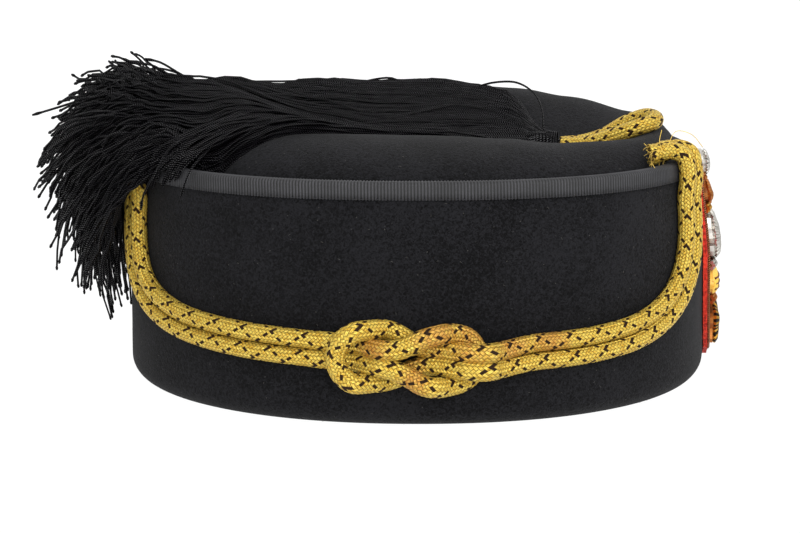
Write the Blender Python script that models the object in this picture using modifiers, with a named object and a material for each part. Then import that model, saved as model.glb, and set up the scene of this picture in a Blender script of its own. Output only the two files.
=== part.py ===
"""Felt fez with a turned-up cuff, a knotted double cord, a tassel and an embroidered badge.

Metres, +Z up. The cap rests on its fold at z = 0, its front faces +X and its right side -Y. The
sizes are taken from the middle of the head opening, and at the end the whole part moves so that
the origin is the middle of its box, on the ground. "Along" is a tape laid round the cuff: 0 at the
middle of the right side, growing towards the front. "Turn" is the angle that goes with it.
"""
import math

import bmesh
import bpy
import numpy as np
from mathutils import Vector
from mathutils.bvhtree import BVHTree

MM = 0.001

# Felt cap, one piece: crown, fold at the foot, cuff turned up outside
FELT = 2.4 * MM
COLUMNS = 54
CLEARANCE = 0.3 * MM
RIM_HEIGHT = 84.2 * MM
FOLD_RADIUS = 7.7 * MM
INNER_FOLD_RADIUS = 2.0 * MM
PRESSED_FLAT = 0.25 * MM
CUFF_ROW_HEIGHTS = (64.0, 45.0)
# Outside of the cuff: height, half length, half width, squareness of the oval, shift forward
CUFF_ROWS = (
    (8.0, 108.0, 92.0, 2.13, 0.0),
    (45.0, 107.2, 92.3, 2.17, 0.0),
    (84.2, 102.5, 92.3, 2.30, -1.0),
)
HALF_LENGTH = CUFF_ROWS[0][1] * MM
HALF_WIDTH = CUFF_ROWS[0][2] * MM
# Crown by turn in degrees, 0 at the front and -90 on the right: top of the wall, crest
CROWN_ROWS = (
    (-180.0, 66.0, 80.0),
    (-160.0, 66.0, 82.0),
    (-146.0, 68.0, 88.5),
    (-131.0, 70.0, 92.8),
    (-88.0, 70.0, 92.3),
    (-67.0, 70.0, 91.3),
    (-51.0, 72.0, 89.3),
    (-26.0, 76.0, 89.5),
    (0.0, 79.0, 90.5),
    (26.0, 77.0, 91.7),
    (45.0, 74.0, 96.2),
    (60.0, 72.0, 99.3),
    (90.0, 72.0, 101.5),
    (130.0, 70.0, 100.0),
    (152.0, 67.0, 90.0),
    (180.0, 66.0, 80.0),
)
WALL_SHIFT = 3.5 * MM
CREST_HALF_LENGTH = 84.0 * MM
CREST_HALF_WIDTH = 49.0 * MM
CREST_SQUARENESS = 3.0
CREST_CENTRE = Vector((6.0 * MM, 3.0 * MM, 0.0))
VALLEY_HALF_LENGTH = 56.0 * MM
VALLEY_CENTRE = Vector((6.0 * MM, -3.0 * MM, 79.0 * MM))
SHOULDER_STEPS = (0.22, 0.48, 0.74, 1.0)
VALLEY_STEPS = (0.24, 0.5, 0.76, 1.0)

# Ribbon folded over the cuff's edge
RIBBON_WIDTH = 6.0 * MM
RIBBON_THICKNESS = 0.6 * MM

# Gold cord
CORD_DIAMETER = 6.0 * MM
CORD_SPACING = 6.3 * MM
CORD_STANDOFF = 3.4 * MM
LEG_STEP = 13.0 * MM
BEND_STEP = 7.0 * MM
KNOT_STEP = 5.0 * MM
TURN_STEP = 2.8 * MM
BEND_FROM_X = 62.0 * MM
BEND_TOP = 58.0 * MM
# Middle of the double cord: along, height, from the cuff's edge at the back to the knot
BACK_SWAG = (
    (-115.5, 72.0), (-115.8, 63.0), (-114.6, 53.0), (-110.0, 43.5), (-101.5, 36.8), (-89.0, 32.4),
    (-75.0, 30.2), (-60.0, 28.9), (-46.5, 28.2),
)
# and from the knot to the cuff's edge at the front
FRONT_SWAG = (
    (37.0, 26.2), (48.0, 26.6), (61.0, 27.3), (76.0, 29.2), (88.5, 33.4), (98.5, 40.5),
    (105.0, 50.5), (107.8, 62.0), (108.0, 72.0),
)
# Plain run that the far side has in the knot's place
PLAIN_SWAG = ((-30.0, 26.4), (-10.0, 25.6), (12.0, 25.1))
# Cord turned in over the edge: step along, height, standoff from the cuff
FRONT_TURN = (
    (0.0, 79.0, 4.5), (0.0, 84.0, 4.5), (-0.5, 87.5, 3.6), (-1.5, 89.1, 0.2), (-3.2, 89.4, -3.6),
    (-5.5, 89.2, -7.4),
)
BACK_TURN = (
    (0.0, 79.0, 4.6), (0.0, 84.0, 4.8), (0.5, 87.5, 3.9), (1.0, 89.3, 0.2), (1.5, 89.0, -3.8),
    (2.0, 86.6, -7.8),
)
OUTER_DRIFT = 0.15
FAR_FRONT_END = ((0.0, 78.0, 4.5), (0.0, 82.4, 4.5))

# Reef knot
KNOT_ALONG = -3.5 * MM
KNOT_LIFT = 6.4 * MM
KNOT_REACH = 22.6 * MM
# Each bight: height of its middle line, tilt in degrees, radius of its closed end
BACK_BIGHT = (25.9, -3.2, 8.7)
FRONT_BIGHT = (26.0, -2.0, 9.5)
# The knot squeezes the cord
SQUEEZE = 0.92
SQUEEZE_INSIDE = 24.0 * MM
SQUEEZE_OUTSIDE = 36.0 * MM
# One leg of a bight, towards its closed end: along the knot, away from its middle line,
# share of the lift in the back bight, share of the lift in the front bight
KNOT_LEG = (
    (-29.5, 3.05, 0.0, 0.45),
    (-25.5, 2.95, 0.0, 0.92),
    (-22.6, 2.90, 0.0, 1.0),
    (-19.0, 2.90, 0.0, 0.86),
    (-16.0, 2.90, 0.12, 0.55),
    (-12.0, 2.90, 0.50, 0.20),
    (-8.0, 3.20, 0.88, 0.04),
    (-4.0, 4.30, 1.0, 0.0),
    (0.0, 6.30, 1.0, 0.0),
    (4.0, 8.40, 1.0, 0.0),
    (8.0, 9.20, 0.84, 0.06),
    (12.5, 9.20, 0.35, 0.45),
)
BIGHT_TURNS = (65.0, 40.0, 18.0, 0.0)
BIGHT_LIFT = (0.04, 0.0, 0.0, 0.0)
FRONT_BIGHT_LIFT = (0.92, 1.0, 1.0, 1.0)

# Tassel: head in the valley, locks laid back over the rim
HEAD_X = 47.0 * MM
HEAD_Y = -4.0 * MM
HEAD_RADIUS = 5.0 * MM
HEAD_LENGTH = 12.0 * MM
ROOT_SPREAD = 3.2 * MM
ROOT_STAGGER = 0.15 * MM
GOLDEN_ANGLE = math.radians(137.5)
# Width of the laid bundle: x, right edge, left edge
BUNDLE_ROWS = (
    (20.0, -24.0, 20.0), (-18.0, -31.0, 27.0), (-56.0, -34.0, 30.0), (-86.0, -31.0, 31.0),
    (-104.0, -27.0, 30.0),
)
TIP_ROOM = 14.0
LIFT_POWER = 4
# A row for each lock: share across, lift at the back, tip x, tip y, tip height
LOCK_ROWS = (
    (0.50, 17.0, -107.0, 8.0, 117.5),
    (0.72, 14.0, -122.0, 22.0, 108.0),
    (0.30, 15.0, -132.0, -6.0, 103.0),
    (0.60, 9.0, -138.0, 14.0, 94.0),
    (0.42, 9.0, -141.0, 2.0, 83.0),
    (0.16, 11.0, -142.0, -14.0, 74.0),
    (0.86, 10.0, -130.0, 30.0, 66.0),
    (0.06, 9.0, -136.0, -22.0, 60.0),
    (0.54, 5.0, -131.0, 8.0, 51.0),
    (0.24, 6.0, -129.0, -12.0, 41.0),
    (0.74, 4.0, -122.0, 24.0, 38.0),
    (0.14, 6.0, -112.5, -12.0, 23.0),
    (0.94, 6.0, -113.0, 38.0, 44.0),
    (0.0, 10.0, -119.0, -26.0, 48.0),
)
LOCK_RADII = (2.2, 4.0, 5.2, 6.6, 7.0, 5.8, 4.6, 1.6)
LAID_STEP = 34.0 * MM
HANGING_STEP = 15.0 * MM
LAID_TO_X = -70.0 * MM
LOCK_CLEARANCE = 0.6 * MM
HANG_X = -118.0 * MM
HANG_BELOW = 85.0
HANG_RISE = 6.0 * MM
PROBE_HEIGHT = 300.0 * MM
PROBE_REACH = (-1.5, -0.8, 0.0, 0.8, 1.5)

# Gold loop at the tassel's head: x, y, height above the crown
LOOP_ROUTE = (
    (54.0, -0.6, 4.4), (62.0, -0.5, 4.2), (70.0, -1.0, 4.0), (78.0, -2.0, 4.0), (85.0, -4.0, 4.0),
    (89.2, -8.5, 3.9), (88.0, -13.5, 3.9), (81.0, -15.2, 4.0), (73.0, -12.0, 4.0), (64.0, -8.6, 4.2),
    (54.0, -7.4, 4.4),
)
LOOP_STEP = 6.0 * MM

# Badge at the front, in heights above the ground and half widths along the cuff
BADGE_FELT = 1.5 * MM
BADGE_GAP = 0.45 * MM
BACKING_ROWS = ((5.5, 8.0), (10.0, 17.0), (20.0, 22.5), (34.0, 24.5), (48.0, 23.0), (60.0, 19.5),
                (71.0, 15.0), (79.0, 10.0), (83.0, 4.0))
BADGE_LEAN_FROM = 68.0 * MM
BADGE_LEAN_TO = 77.5 * MM
BADGE_LEAN = 0.9 * MM
PILLOW_RINGS = ((1.0, 0.45), (0.82, 0.8), (0.45, 1.0))

# Colours: red, green, blue, roughness, metallic
FINISHES = {
    "black_felt": (0.012, 0.012, 0.014, 0.95, 0.0),
    "black_ribbon": (0.030, 0.030, 0.034, 0.75, 0.0),
    "gold_braid": (0.640, 0.400, 0.050, 0.45, 0.35),
    "black_cotton": (0.006, 0.006, 0.008, 0.60, 0.0),
    "red_felt": (0.520, 0.040, 0.025, 0.90, 0.0),
    "silver_bullion": (0.700, 0.690, 0.670, 0.30, 0.9),
    "yellow_satin": (0.720, 0.420, 0.030, 0.40, 0.0),
    "copper_bullion": (0.450, 0.210, 0.070, 0.40, 0.8),
}


def smooth_step(share):
    """Ease from 0 to 1 without a corner at either end."""
    return share * share * (3 - 2 * share)


def read_table(rows, key, column):
    """Value of a column at a key, eased between the rows."""
    for first, second in zip(rows, rows[1:]):
        if key <= second[0]:
            share = max(0.0, (key - first[0]) / (second[0] - first[0]))
            return first[column] + (second[column] - first[column]) * smooth_step(share)
    return rows[-1][column]


def read_line(rows, key, column):
    """Value of a column at a key, in straight runs between the rows."""
    return float(np.interp(key, [row[0] for row in rows], [row[column] for row in rows]))


def oval(turn, half_length, half_width, power, centre_x=0.0):
    """Point on a squared oval, on the ray that spreads the columns evenly round the cap."""
    x = HALF_LENGTH * math.cos(turn)
    y = HALF_WIDTH * math.sin(turn)
    reach = (abs(x / half_length) ** power + abs(y / half_width) ** power) ** (-1 / power)
    return Vector((centre_x + x * reach, y * reach, 0.0))


def cuff_point(turn, height, outset):
    """Point at a height, outset from the outside of the cuff."""
    row = [read_line(CUFF_ROWS, height / MM, column) for column in range(1, 5)]
    point = oval(turn, row[0] * MM + outset, row[1] * MM + outset, row[2], row[3] * MM)
    point.z = height
    return point


def tape_marks(count=1440):
    """Turns and their distances along the tape, from the back round the right side and on."""
    turns = np.linspace(-math.pi, 1.5 * math.pi, count)
    points = [cuff_point(turn, FOLD_RADIUS, 0.0) for turn in turns]
    steps = [(b - a).length for a, b in zip(points, points[1:])]
    lengths = np.concatenate([[0.0], np.cumsum(steps)])
    return turns, lengths - np.interp(-math.pi / 2, turns, lengths)


TURNS, TAPE = tape_marks()
FRONT_ALONG = float(np.interp(0.0, TURNS, TAPE))


def on_cuff(along, height, standoff):
    """Point off the cuff's face at a place on the tape."""
    turn = float(np.interp(along, TAPE, TURNS))
    point = cuff_point(turn, height, 0.0)
    ahead = cuff_point(turn + 0.01, height, 0.0)
    tangent = (ahead - point).normalized()
    return point + Vector((tangent.y, -tangent.x, 0.0)) * standoff


def add_mesh(name, vertices, faces, material, collection):
    """Mesh object from a loft, its faces turned outward."""
    mesh = bpy.data.meshes.new(name)
    mesh.from_pydata([tuple(vertex) for vertex in vertices], [], faces)
    body = bmesh.new()
    body.from_mesh(mesh)
    bmesh.ops.remove_doubles(body, verts=body.verts, dist=0.00001)
    bmesh.ops.recalc_face_normals(body, faces=body.faces)
    body.to_mesh(mesh)
    body.free()
    thing = bpy.data.objects.new(name, mesh)
    thing.data.materials.append(material)
    collection.objects.link(thing)
    return thing


def ring_faces(row, next_row, count):
    """Faces between two rings of points, given by the number of each ring's first point."""
    faces = []
    for k in range(count):
        after = (k + 1) % count
        faces.append((row + k, row + after, next_row + after, next_row + k))
    return faces


def apply_modifiers(thing):
    """Bake an object's modifiers into its mesh."""
    bpy.context.view_layer.update()
    graph = bpy.context.evaluated_depsgraph_get()
    mesh = bpy.data.meshes.new_from_object(thing.evaluated_get(graph))
    thing.modifiers.clear()
    thing.data = mesh


def join_by_union(thing, others):
    """Fuse other solids into one, and remove them."""
    for other in others:
        union = thing.modifiers.new("join", "BOOLEAN")
        union.operation = "UNION"
        union.solver = "MANIFOLD"
        union.object = other
        apply_modifiers(thing)
        bpy.data.objects.remove(other)
    return thing


def keep_outer_skin(thing):
    """Drop the skins of small voids that a union of many crossing tubes shuts in."""
    body = bmesh.new()
    body.from_mesh(thing.data)
    waiting = set(body.verts)
    skins = []
    while waiting:
        front = [waiting.pop()]
        skin = set(front)
        while front:
            vertex = front.pop()
            near = {edge.other_vert(vertex) for edge in vertex.link_edges} & waiting
            waiting -= near
            skin |= near
            front += near
        skins.append(skin)
    largest = max(skins, key=len)
    inner = [vertex for skin in skins if skin is not largest for vertex in skin]
    bmesh.ops.delete(body, geom=inner, context="VERTS")
    body.to_mesh(thing.data)
    body.free()


def smooth_route(points, step_at):
    """Points read from a smooth curve through a route, at the step that holds at each place."""
    points = [Vector(point) for point in points]
    ends = [2 * points[0] - points[1]] + points + [2 * points[-1] - points[-2]]
    fine = []
    for k in range(1, len(ends) - 2):
        before, start, stop, after = ends[k - 1:k + 3]
        for share in np.linspace(0, 1, 16, endpoint=False):
            square = share * share
            cube = square * share
            fine.append(0.5 * (2 * start + (stop - before) * share
                               + (2 * before - 5 * start + 4 * stop - after) * square
                               + (3 * start - before - 3 * stop + after) * cube))
    fine.append(points[-1])
    lengths = np.concatenate([[0.0], np.cumsum([(b - a).length for a, b in zip(fine, fine[1:])])])
    marks = [0.0]
    while marks[-1] < lengths[-1]:
        here = fine[int(np.searchsorted(lengths, marks[-1]))]
        marks.append(marks[-1] + step_at(here))
    marks = np.array(marks) * lengths[-1] / marks[-1]
    columns = [np.interp(marks, lengths, [point[axis] for point in fine]) for axis in range(3)]
    return [Vector(place) for place in zip(*columns)]


def tube(name, points, diameter, material, collection, radii=None, resolution=2):
    """Closed round tube along points, as a mesh."""
    curve = bpy.data.curves.new(name, "CURVE")
    curve.dimensions = "3D"
    curve.bevel_depth = diameter / 2
    curve.bevel_resolution = resolution
    curve.use_fill_caps = True
    spline = curve.splines.new("POLY")
    spline.points.add(len(points) - 1)
    for k, point in enumerate(points):
        spline.points[k].co = (*point, 1.0)
        spline.points[k].radius = 1.0 if radii is None else radii[k]
    source = bpy.data.objects.new(name + "_path", curve)
    collection.objects.link(source)
    bpy.context.view_layer.update()
    graph = bpy.context.evaluated_depsgraph_get()
    mesh = bpy.data.meshes.new_from_object(source.evaluated_get(graph))
    mesh.name = name
    body = bmesh.new()
    body.from_mesh(mesh)
    bmesh.ops.remove_doubles(body, verts=body.verts, dist=0.00001)
    bmesh.ops.recalc_face_normals(body, faces=body.faces)
    body.to_mesh(mesh)
    body.free()
    thing = bpy.data.objects.new(name, mesh)
    thing.matrix_world = source.matrix_world
    bpy.data.objects.remove(source)
    thing.data.materials.clear()
    thing.data.materials.append(material)
    thing.data.shade_smooth()
    collection.objects.link(thing)
    return thing


def fold_rows():
    """Inset from the cuff's face and height of the felt's middle layer, round the fold."""
    half = FELT / 2
    rows = []
    for angle in np.radians((22.5, 45.0, 67.5, 90.0)):
        reach = FOLD_RADIUS - half
        rows.append((FOLD_RADIUS - reach * math.cos(angle), FOLD_RADIUS - reach * math.sin(angle)))
    for angle in np.radians((45.0, 90.0)):
        rows.append((FOLD_RADIUS + INNER_FOLD_RADIUS * math.sin(angle),
                     half + INNER_FOLD_RADIUS * (1 - math.cos(angle))))
    return rows


def wall_point(turn, height, share):
    """Point of the crown's wall, which leans forward by the share of the shift."""
    inset = FOLD_RADIUS + INNER_FOLD_RADIUS
    point = cuff_point(turn, height, -inset)
    point.x += WALL_SHIFT * share
    return point


def felt_rings():
    """Rings of the felt's middle layer, from the cuff's edge round the fold to the valley."""
    turns = [2 * math.pi * k / COLUMNS - math.pi for k in range(COLUMNS)]
    edge = RIM_HEIGHT - RIBBON_THICKNESS - CLEARANCE
    rings = []
    for height in (edge / MM, *CUFF_ROW_HEIGHTS, FOLD_RADIUS / MM):
        rings.append([cuff_point(turn, height * MM, -FELT / 2) for turn in turns])
    for inset, height in fold_rows():
        rings.append([cuff_point(turn, height, -inset) for turn in turns])
    rings.append([wall_point(turn, 36 * MM, 0.5) for turn in turns])
    wall_tops = []
    crests = []
    valleys = []
    for turn in turns:
        degrees = math.degrees(turn)
        wall_tops.append(wall_point(turn, read_table(CROWN_ROWS, degrees, 1) * MM, 1.0))
        crest = oval(turn, CREST_HALF_LENGTH, CREST_HALF_WIDTH, CREST_SQUARENESS) + CREST_CENTRE
        crest.z = read_table(CROWN_ROWS, degrees, 2) * MM
        crests.append(crest)
        valleys.append(VALLEY_CENTRE + Vector((VALLEY_HALF_LENGTH * math.cos(turn), 0.0, 0.0)))
    rings.append(wall_tops)
    for share in SHOULDER_STEPS:
        angle = share * math.pi / 2
        ring = []
        for wall, crest in zip(wall_tops, crests):
            point = wall.lerp(crest, 1 - math.cos(angle))
            point.z = wall.z + (crest.z - wall.z) * math.sin(angle)
            ring.append(point)
        rings.append(ring)
    for share in VALLEY_STEPS:
        ring = []
        for crest, valley in zip(crests, valleys):
            point = crest.lerp(valley, share)
            point.z = crest.z + (valley.z - crest.z) * smooth_step(share)
            ring.append(point)
        rings.append(ring)
    return rings


def build_felt_body(material, parts, cutters):
    """Crown, fold and cuff: one felt body, pressed flat where it rests."""
    rings = felt_rings()
    vertices = [point - Vector((0, 0, PRESSED_FLAT)) for ring in rings for point in ring]
    faces = []
    for k in range(len(rings) - 1):
        faces += ring_faces(k * COLUMNS, (k + 1) * COLUMNS, COLUMNS)
    felt = add_mesh("felt_body", vertices, faces, material, parts)
    wall = felt.modifiers.new("wall", "SOLIDIFY")
    wall.thickness = FELT
    wall.offset = 0.0
    wall.use_even_offset = True
    bpy.ops.mesh.primitive_cube_add(size=1.0)
    ground = bpy.context.object
    ground.name = "ground_cutter"
    ground.scale = (4 * HALF_LENGTH, 4 * HALF_LENGTH, 0.02)
    ground.location = (0, 0, -0.01)
    for owner in ground.users_collection:
        owner.objects.unlink(ground)
    cutters.objects.link(ground)
    ground.hide_render = True
    ground.display_type = "WIRE"
    trim = felt.modifiers.new("flat_foot", "BOOLEAN")
    trim.operation = "DIFFERENCE"
    trim.object = ground
    felt.data.shade_smooth()
    return felt


def build_edge_binding(material, parts):
    """Ribbon folded over the cuff's edge: a thin channel all the way round."""
    low = RIM_HEIGHT - RIBBON_WIDTH
    under = RIM_HEIGHT - RIBBON_THICKNESS
    near = CLEARANCE
    far = CLEARANCE + RIBBON_THICKNESS
    section = ((near, low), (far, low), (far, RIM_HEIGHT), (-FELT - far, RIM_HEIGHT),
               (-FELT - far, low), (-FELT - near, low), (-FELT - near, under), (near, under))
    lower = Vector((0, 0, PRESSED_FLAT))
    turns = [2 * math.pi * k / COLUMNS - math.pi for k in range(COLUMNS)]
    vertices = []
    for outset, height in section:
        vertices += [cuff_point(turn, height, outset) - lower for turn in turns]
    faces = []
    for k in range(len(section)):
        after = (k + 1) % len(section)
        faces += ring_faces(k * COLUMNS, after * COLUMNS, COLUMNS)
    return add_mesh("edge_binding", vertices, faces, material, parts)


def offset_line(line, side):
    """Parallel of a line on the unrolled cuff, to its left for a positive side."""
    moved = []
    for k, (along, height) in enumerate(line):
        before = line[max(k - 1, 0)]
        after = line[min(k + 1, len(line) - 1)]
        run = Vector((after[0] - before[0], after[1] - before[1])).normalized()
        moved.append((along - run.y * side / MM, height + run.x * side / MM))
    return moved


def turned_end(place, turn_rows, drift=1.0):
    """Points that take a leg of the cord over the cuff's edge, with a share of its drift."""
    points = []
    for step, height, standoff in turn_rows:
        points.append(((place + step * drift) * MM, height * MM, standoff * MM))
    return points


def knot_leg(bight, towards, upper, lift_column, bight_lift):
    """One leg of a bight in the knot and half of its closed end, on the unrolled cuff."""
    level = bight[0] * MM
    tilt = math.radians(bight[1])
    radius = bight[2] * MM
    rows = [(row[0] * MM, row[1] * MM, row[lift_column]) for row in KNOT_LEG]
    for degrees, lift in zip(BIGHT_TURNS, bight_lift):
        angle = math.radians(degrees)
        run = KNOT_REACH - radius + radius * math.cos(angle)
        rows.append((run, radius * math.sin(angle), lift))
    placed = []
    for run, aside, lift in rows:
        run *= towards
        aside *= 1 if upper else -1
        along = KNOT_ALONG + run * math.cos(tilt) - aside * math.sin(tilt)
        height = level + run * math.sin(tilt) + aside * math.cos(tilt)
        placed.append((along, height, CORD_STANDOFF + lift * KNOT_LIFT))
    return placed


def bight_route(bight, swag, turn_rows, towards, lift_column, bight_lift):
    """Whole route of one cord of the knot: in by the upper leg, round, out by the lower one."""
    legs = []
    for upper in (True, False):
        side = towards * (CORD_SPACING / 2 if upper else -CORD_SPACING / 2)
        line = offset_line(swag, side)
        edge = turned_end(line[0][0], turn_rows, 1.0 if upper else OUTER_DRIFT)[::-1]
        run = [(along * MM, height * MM, CORD_STANDOFF) for along, height in line]
        legs.append(edge + run + knot_leg(bight, towards, upper, lift_column, bight_lift))
    return legs[0] + legs[1][-2::-1]


def plain_step(point):
    """Step for a cord: short at the turned edge and in the bends, long elsewhere."""
    if point.z > RIM_HEIGHT - 1 * MM:
        return TURN_STEP
    bent = abs(point.x) > BEND_FROM_X and point.z < BEND_TOP
    return BEND_STEP if bent else LEG_STEP


def knot_step(point):
    """Step for a cord of the knot, short in the knot too."""
    return KNOT_STEP if abs(point.x - KNOT_ALONG) < 1.6 * KNOT_REACH else plain_step(point)


def squeeze(point):
    """Share of the cord's full width that the knot leaves at a place."""
    share = (abs(point.x - KNOT_ALONG) - SQUEEZE_INSIDE) / (SQUEEZE_OUTSIDE - SQUEEZE_INSIDE)
    return SQUEEZE + (1 - SQUEEZE) * smooth_step(min(max(share, 0.0), 1.0))


def build_near_cords(material, parts):
    """The two bights that lock into a reef knot on the right side."""
    back = bight_route(BACK_BIGHT, BACK_SWAG, BACK_TURN, 1, 2, BIGHT_LIFT)
    front = bight_route(FRONT_BIGHT, FRONT_SWAG[::-1], FRONT_TURN, -1, 3, FRONT_BIGHT_LIFT)
    for name, route in (("cord_back_bight", back), ("cord_front_bight", front)):
        points = smooth_route([on_cuff(*place) for place in route], knot_step)
        radii = [squeeze(point) for point in points]
        tube(name, points, CORD_DIAMETER, material, parts, radii)


def build_far_cords(material, parts):
    """The plain double cord of the left side, the mirror of the right side without its knot."""
    swag = BACK_SWAG + PLAIN_SWAG + FRONT_SWAG
    for name, side in (("cord_far_upper", CORD_SPACING / 2), ("cord_far_lower", -CORD_SPACING / 2)):
        line = offset_line(swag, side)
        route = turned_end(line[0][0], BACK_TURN, 1.0 if side > 0 else OUTER_DRIFT)[::-1]
        route += [(along * MM, height * MM, CORD_STANDOFF) for along, height in line]
        route += turned_end(line[-1][0], FAR_FRONT_END)
        points = smooth_route([on_cuff(*place) for place in route], plain_step)
        mirrored = [Vector((point.x, -point.y, point.z)) for point in points]
        tube(name, mirrored, CORD_DIAMETER, material, parts)


def top_probe(things):
    """Function that gives the height of the highest of some pieces at a place."""
    bpy.context.view_layer.update()
    graph = bpy.context.evaluated_depsgraph_get()
    trees = [BVHTree.FromObject(thing, graph) for thing in things]

    def height(x, y):
        hits = [tree.ray_cast(Vector((x, y, PROBE_HEIGHT)), Vector((0, 0, -1)))[0] for tree in trees]
        return max([hit.z for hit in hits if hit is not None], default=0.0)

    return height


def lock_path(number, row, head_centre, height):
    """Stations of one lock, from the head over the laid bundle and the rim to its tip."""
    share, lift, tip_x, tip_y, tip_z = row
    reach = ROOT_SPREAD * math.sqrt((number + 0.5) / len(LOCK_ROWS))
    angle = number * GOLDEN_ANGLE
    root = Vector((-number * ROOT_STAGGER, reach * math.cos(angle), reach * math.sin(angle)))
    path = [head_centre + root]
    rows = [row for row in BUNDLE_ROWS if row[0] > tip_x + TIP_ROOM or tip_z < HANG_BELOW]
    for k, (x, right, left) in enumerate(rows):
        y = (right + (left - right) * share) * MM
        radius = LOCK_RADII[k + 1] * MM
        rise = lift * MM * min(1.0, k / (len(BUNDLE_ROWS) - 2)) ** LIFT_POWER
        places = [(x * MM + dx * radius, y + dy * radius) for dx in PROBE_REACH for dy in (-1, 0, 1)]
        top = max(height(*place) for place in places)
        path.append(Vector((x * MM, y, top + radius + LOCK_CLEARANCE + rise)))
    tip = Vector((tip_x, tip_y, tip_z)) * MM
    over = path[-1].lerp(tip, 0.5)
    if tip_z < HANG_BELOW:
        over.x = min(over.x, HANG_X)
        over.z += HANG_RISE
    path.append(over)
    path.append(tip)
    return path


def lock_step(point):
    """Step for a lock: long where it lies on the crown, short where it turns down."""
    return LAID_STEP if point.x > LAID_TO_X else HANGING_STEP


def build_tassel(material, parts, height):
    """Tassel: a wound head on the crown with locks of cord fused to it."""
    seat = max(height(HEAD_X + dx, HEAD_Y) for dx in (-HEAD_RADIUS / 2, 0, HEAD_RADIUS / 2))
    head_centre = Vector((HEAD_X, HEAD_Y, seat + CLEARANCE + HEAD_RADIUS))
    bpy.ops.mesh.primitive_uv_sphere_add(segments=10, ring_count=7, radius=HEAD_RADIUS)
    head = bpy.context.object
    for owner in head.users_collection:
        owner.objects.unlink(head)
    parts.objects.link(head)
    head.name = "tassel"
    stretch = HEAD_LENGTH / (2 * HEAD_RADIUS)
    for vertex in head.data.vertices:
        vertex.co.x *= stretch
        vertex.co += head_centre
    head.data.materials.clear()
    head.data.materials.append(material)
    locks = []
    for k, row in enumerate(LOCK_ROWS):
        points = smooth_route(lock_path(k, row, head_centre, height), lock_step)
        shares = np.linspace(0, 1, len(points))
        radii = np.interp(shares, np.linspace(0, 1, len(LOCK_RADII)), LOCK_RADII)
        locks.append(tube(f"lock_{k}", points, 2 * MM, material, parts, radii, 1))
    join_by_union(head, locks)
    keep_outer_skin(head)
    head.data.shade_smooth()
    return head


def build_tassel_loop(material, parts, height):
    """Gold loop that runs from the tassel's head over the front of the crown."""
    route = [Vector((x * MM, y * MM, height(x * MM, y * MM) + rise * MM)) for x, y, rise in LOOP_ROUTE]
    points = smooth_route(route, lambda point: LOOP_STEP)
    return tube("tassel_loop", points, CORD_DIAMETER, material, parts)


def badge_base(height):
    """Standoff of the badge's felt, which steps out over the bound edge at its top."""
    share = (height - BADGE_LEAN_FROM) / (BADGE_LEAN_TO - BADGE_LEAN_FROM)
    return CLEARANCE + 0.1 * MM + BADGE_LEAN * smooth_step(min(max(share, 0.0), 1.0))


def pillow(name, outline, centre, base, rise, rings, material, parts):
    """Low relief on the cuff: an outline about a centre, flat behind and crowned in front."""
    count = len(outline)
    layers = [(0.5, 0.0), (1.0, 0.0)] + list(rings)
    vertices = []
    for scale, share in layers:
        for aside, height in outline:
            along = FRONT_ALONG + (centre[0] + (aside - centre[0]) * scale)
            level = centre[1] + (height - centre[1]) * scale
            vertices.append(on_cuff(along, level, badge_base(level) + base + rise * share))
    faces = []
    for k in range(len(layers) - 1):
        faces += ring_faces(k * count, (k + 1) * count, count)
    back = len(vertices)
    along = FRONT_ALONG + centre[0]
    vertices.append(on_cuff(along, centre[1], badge_base(centre[1]) + base))
    vertices.append(on_cuff(along, centre[1], badge_base(centre[1]) + base + rise))
    last = (len(layers) - 1) * count
    for k in range(count):
        after = (k + 1) % count
        faces.append((back, after, k))
        faces.append((back + 1, last + k, last + after))
    thing = add_mesh(name, vertices, faces, material, parts)
    thing.data.shade_smooth()
    return thing


def lobed(centre, across, tall, lobes, depth, count, start=0.0, sweep=360.0):
    """Closed outline with round lobes, as on a rosette or a fan of leaves."""
    points = []
    for k in range(count):
        degrees = start + sweep * k / (count if sweep == 360.0 else count - 1)
        angle = math.radians(degrees)
        wave = 1 - depth * (0.5 - 0.5 * math.cos(lobes * math.radians(degrees - start) * 360.0 / sweep))
        points.append((centre[0] + across * wave * math.cos(angle), centre[1] + tall * wave * math.sin(angle)))
    return points


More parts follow.
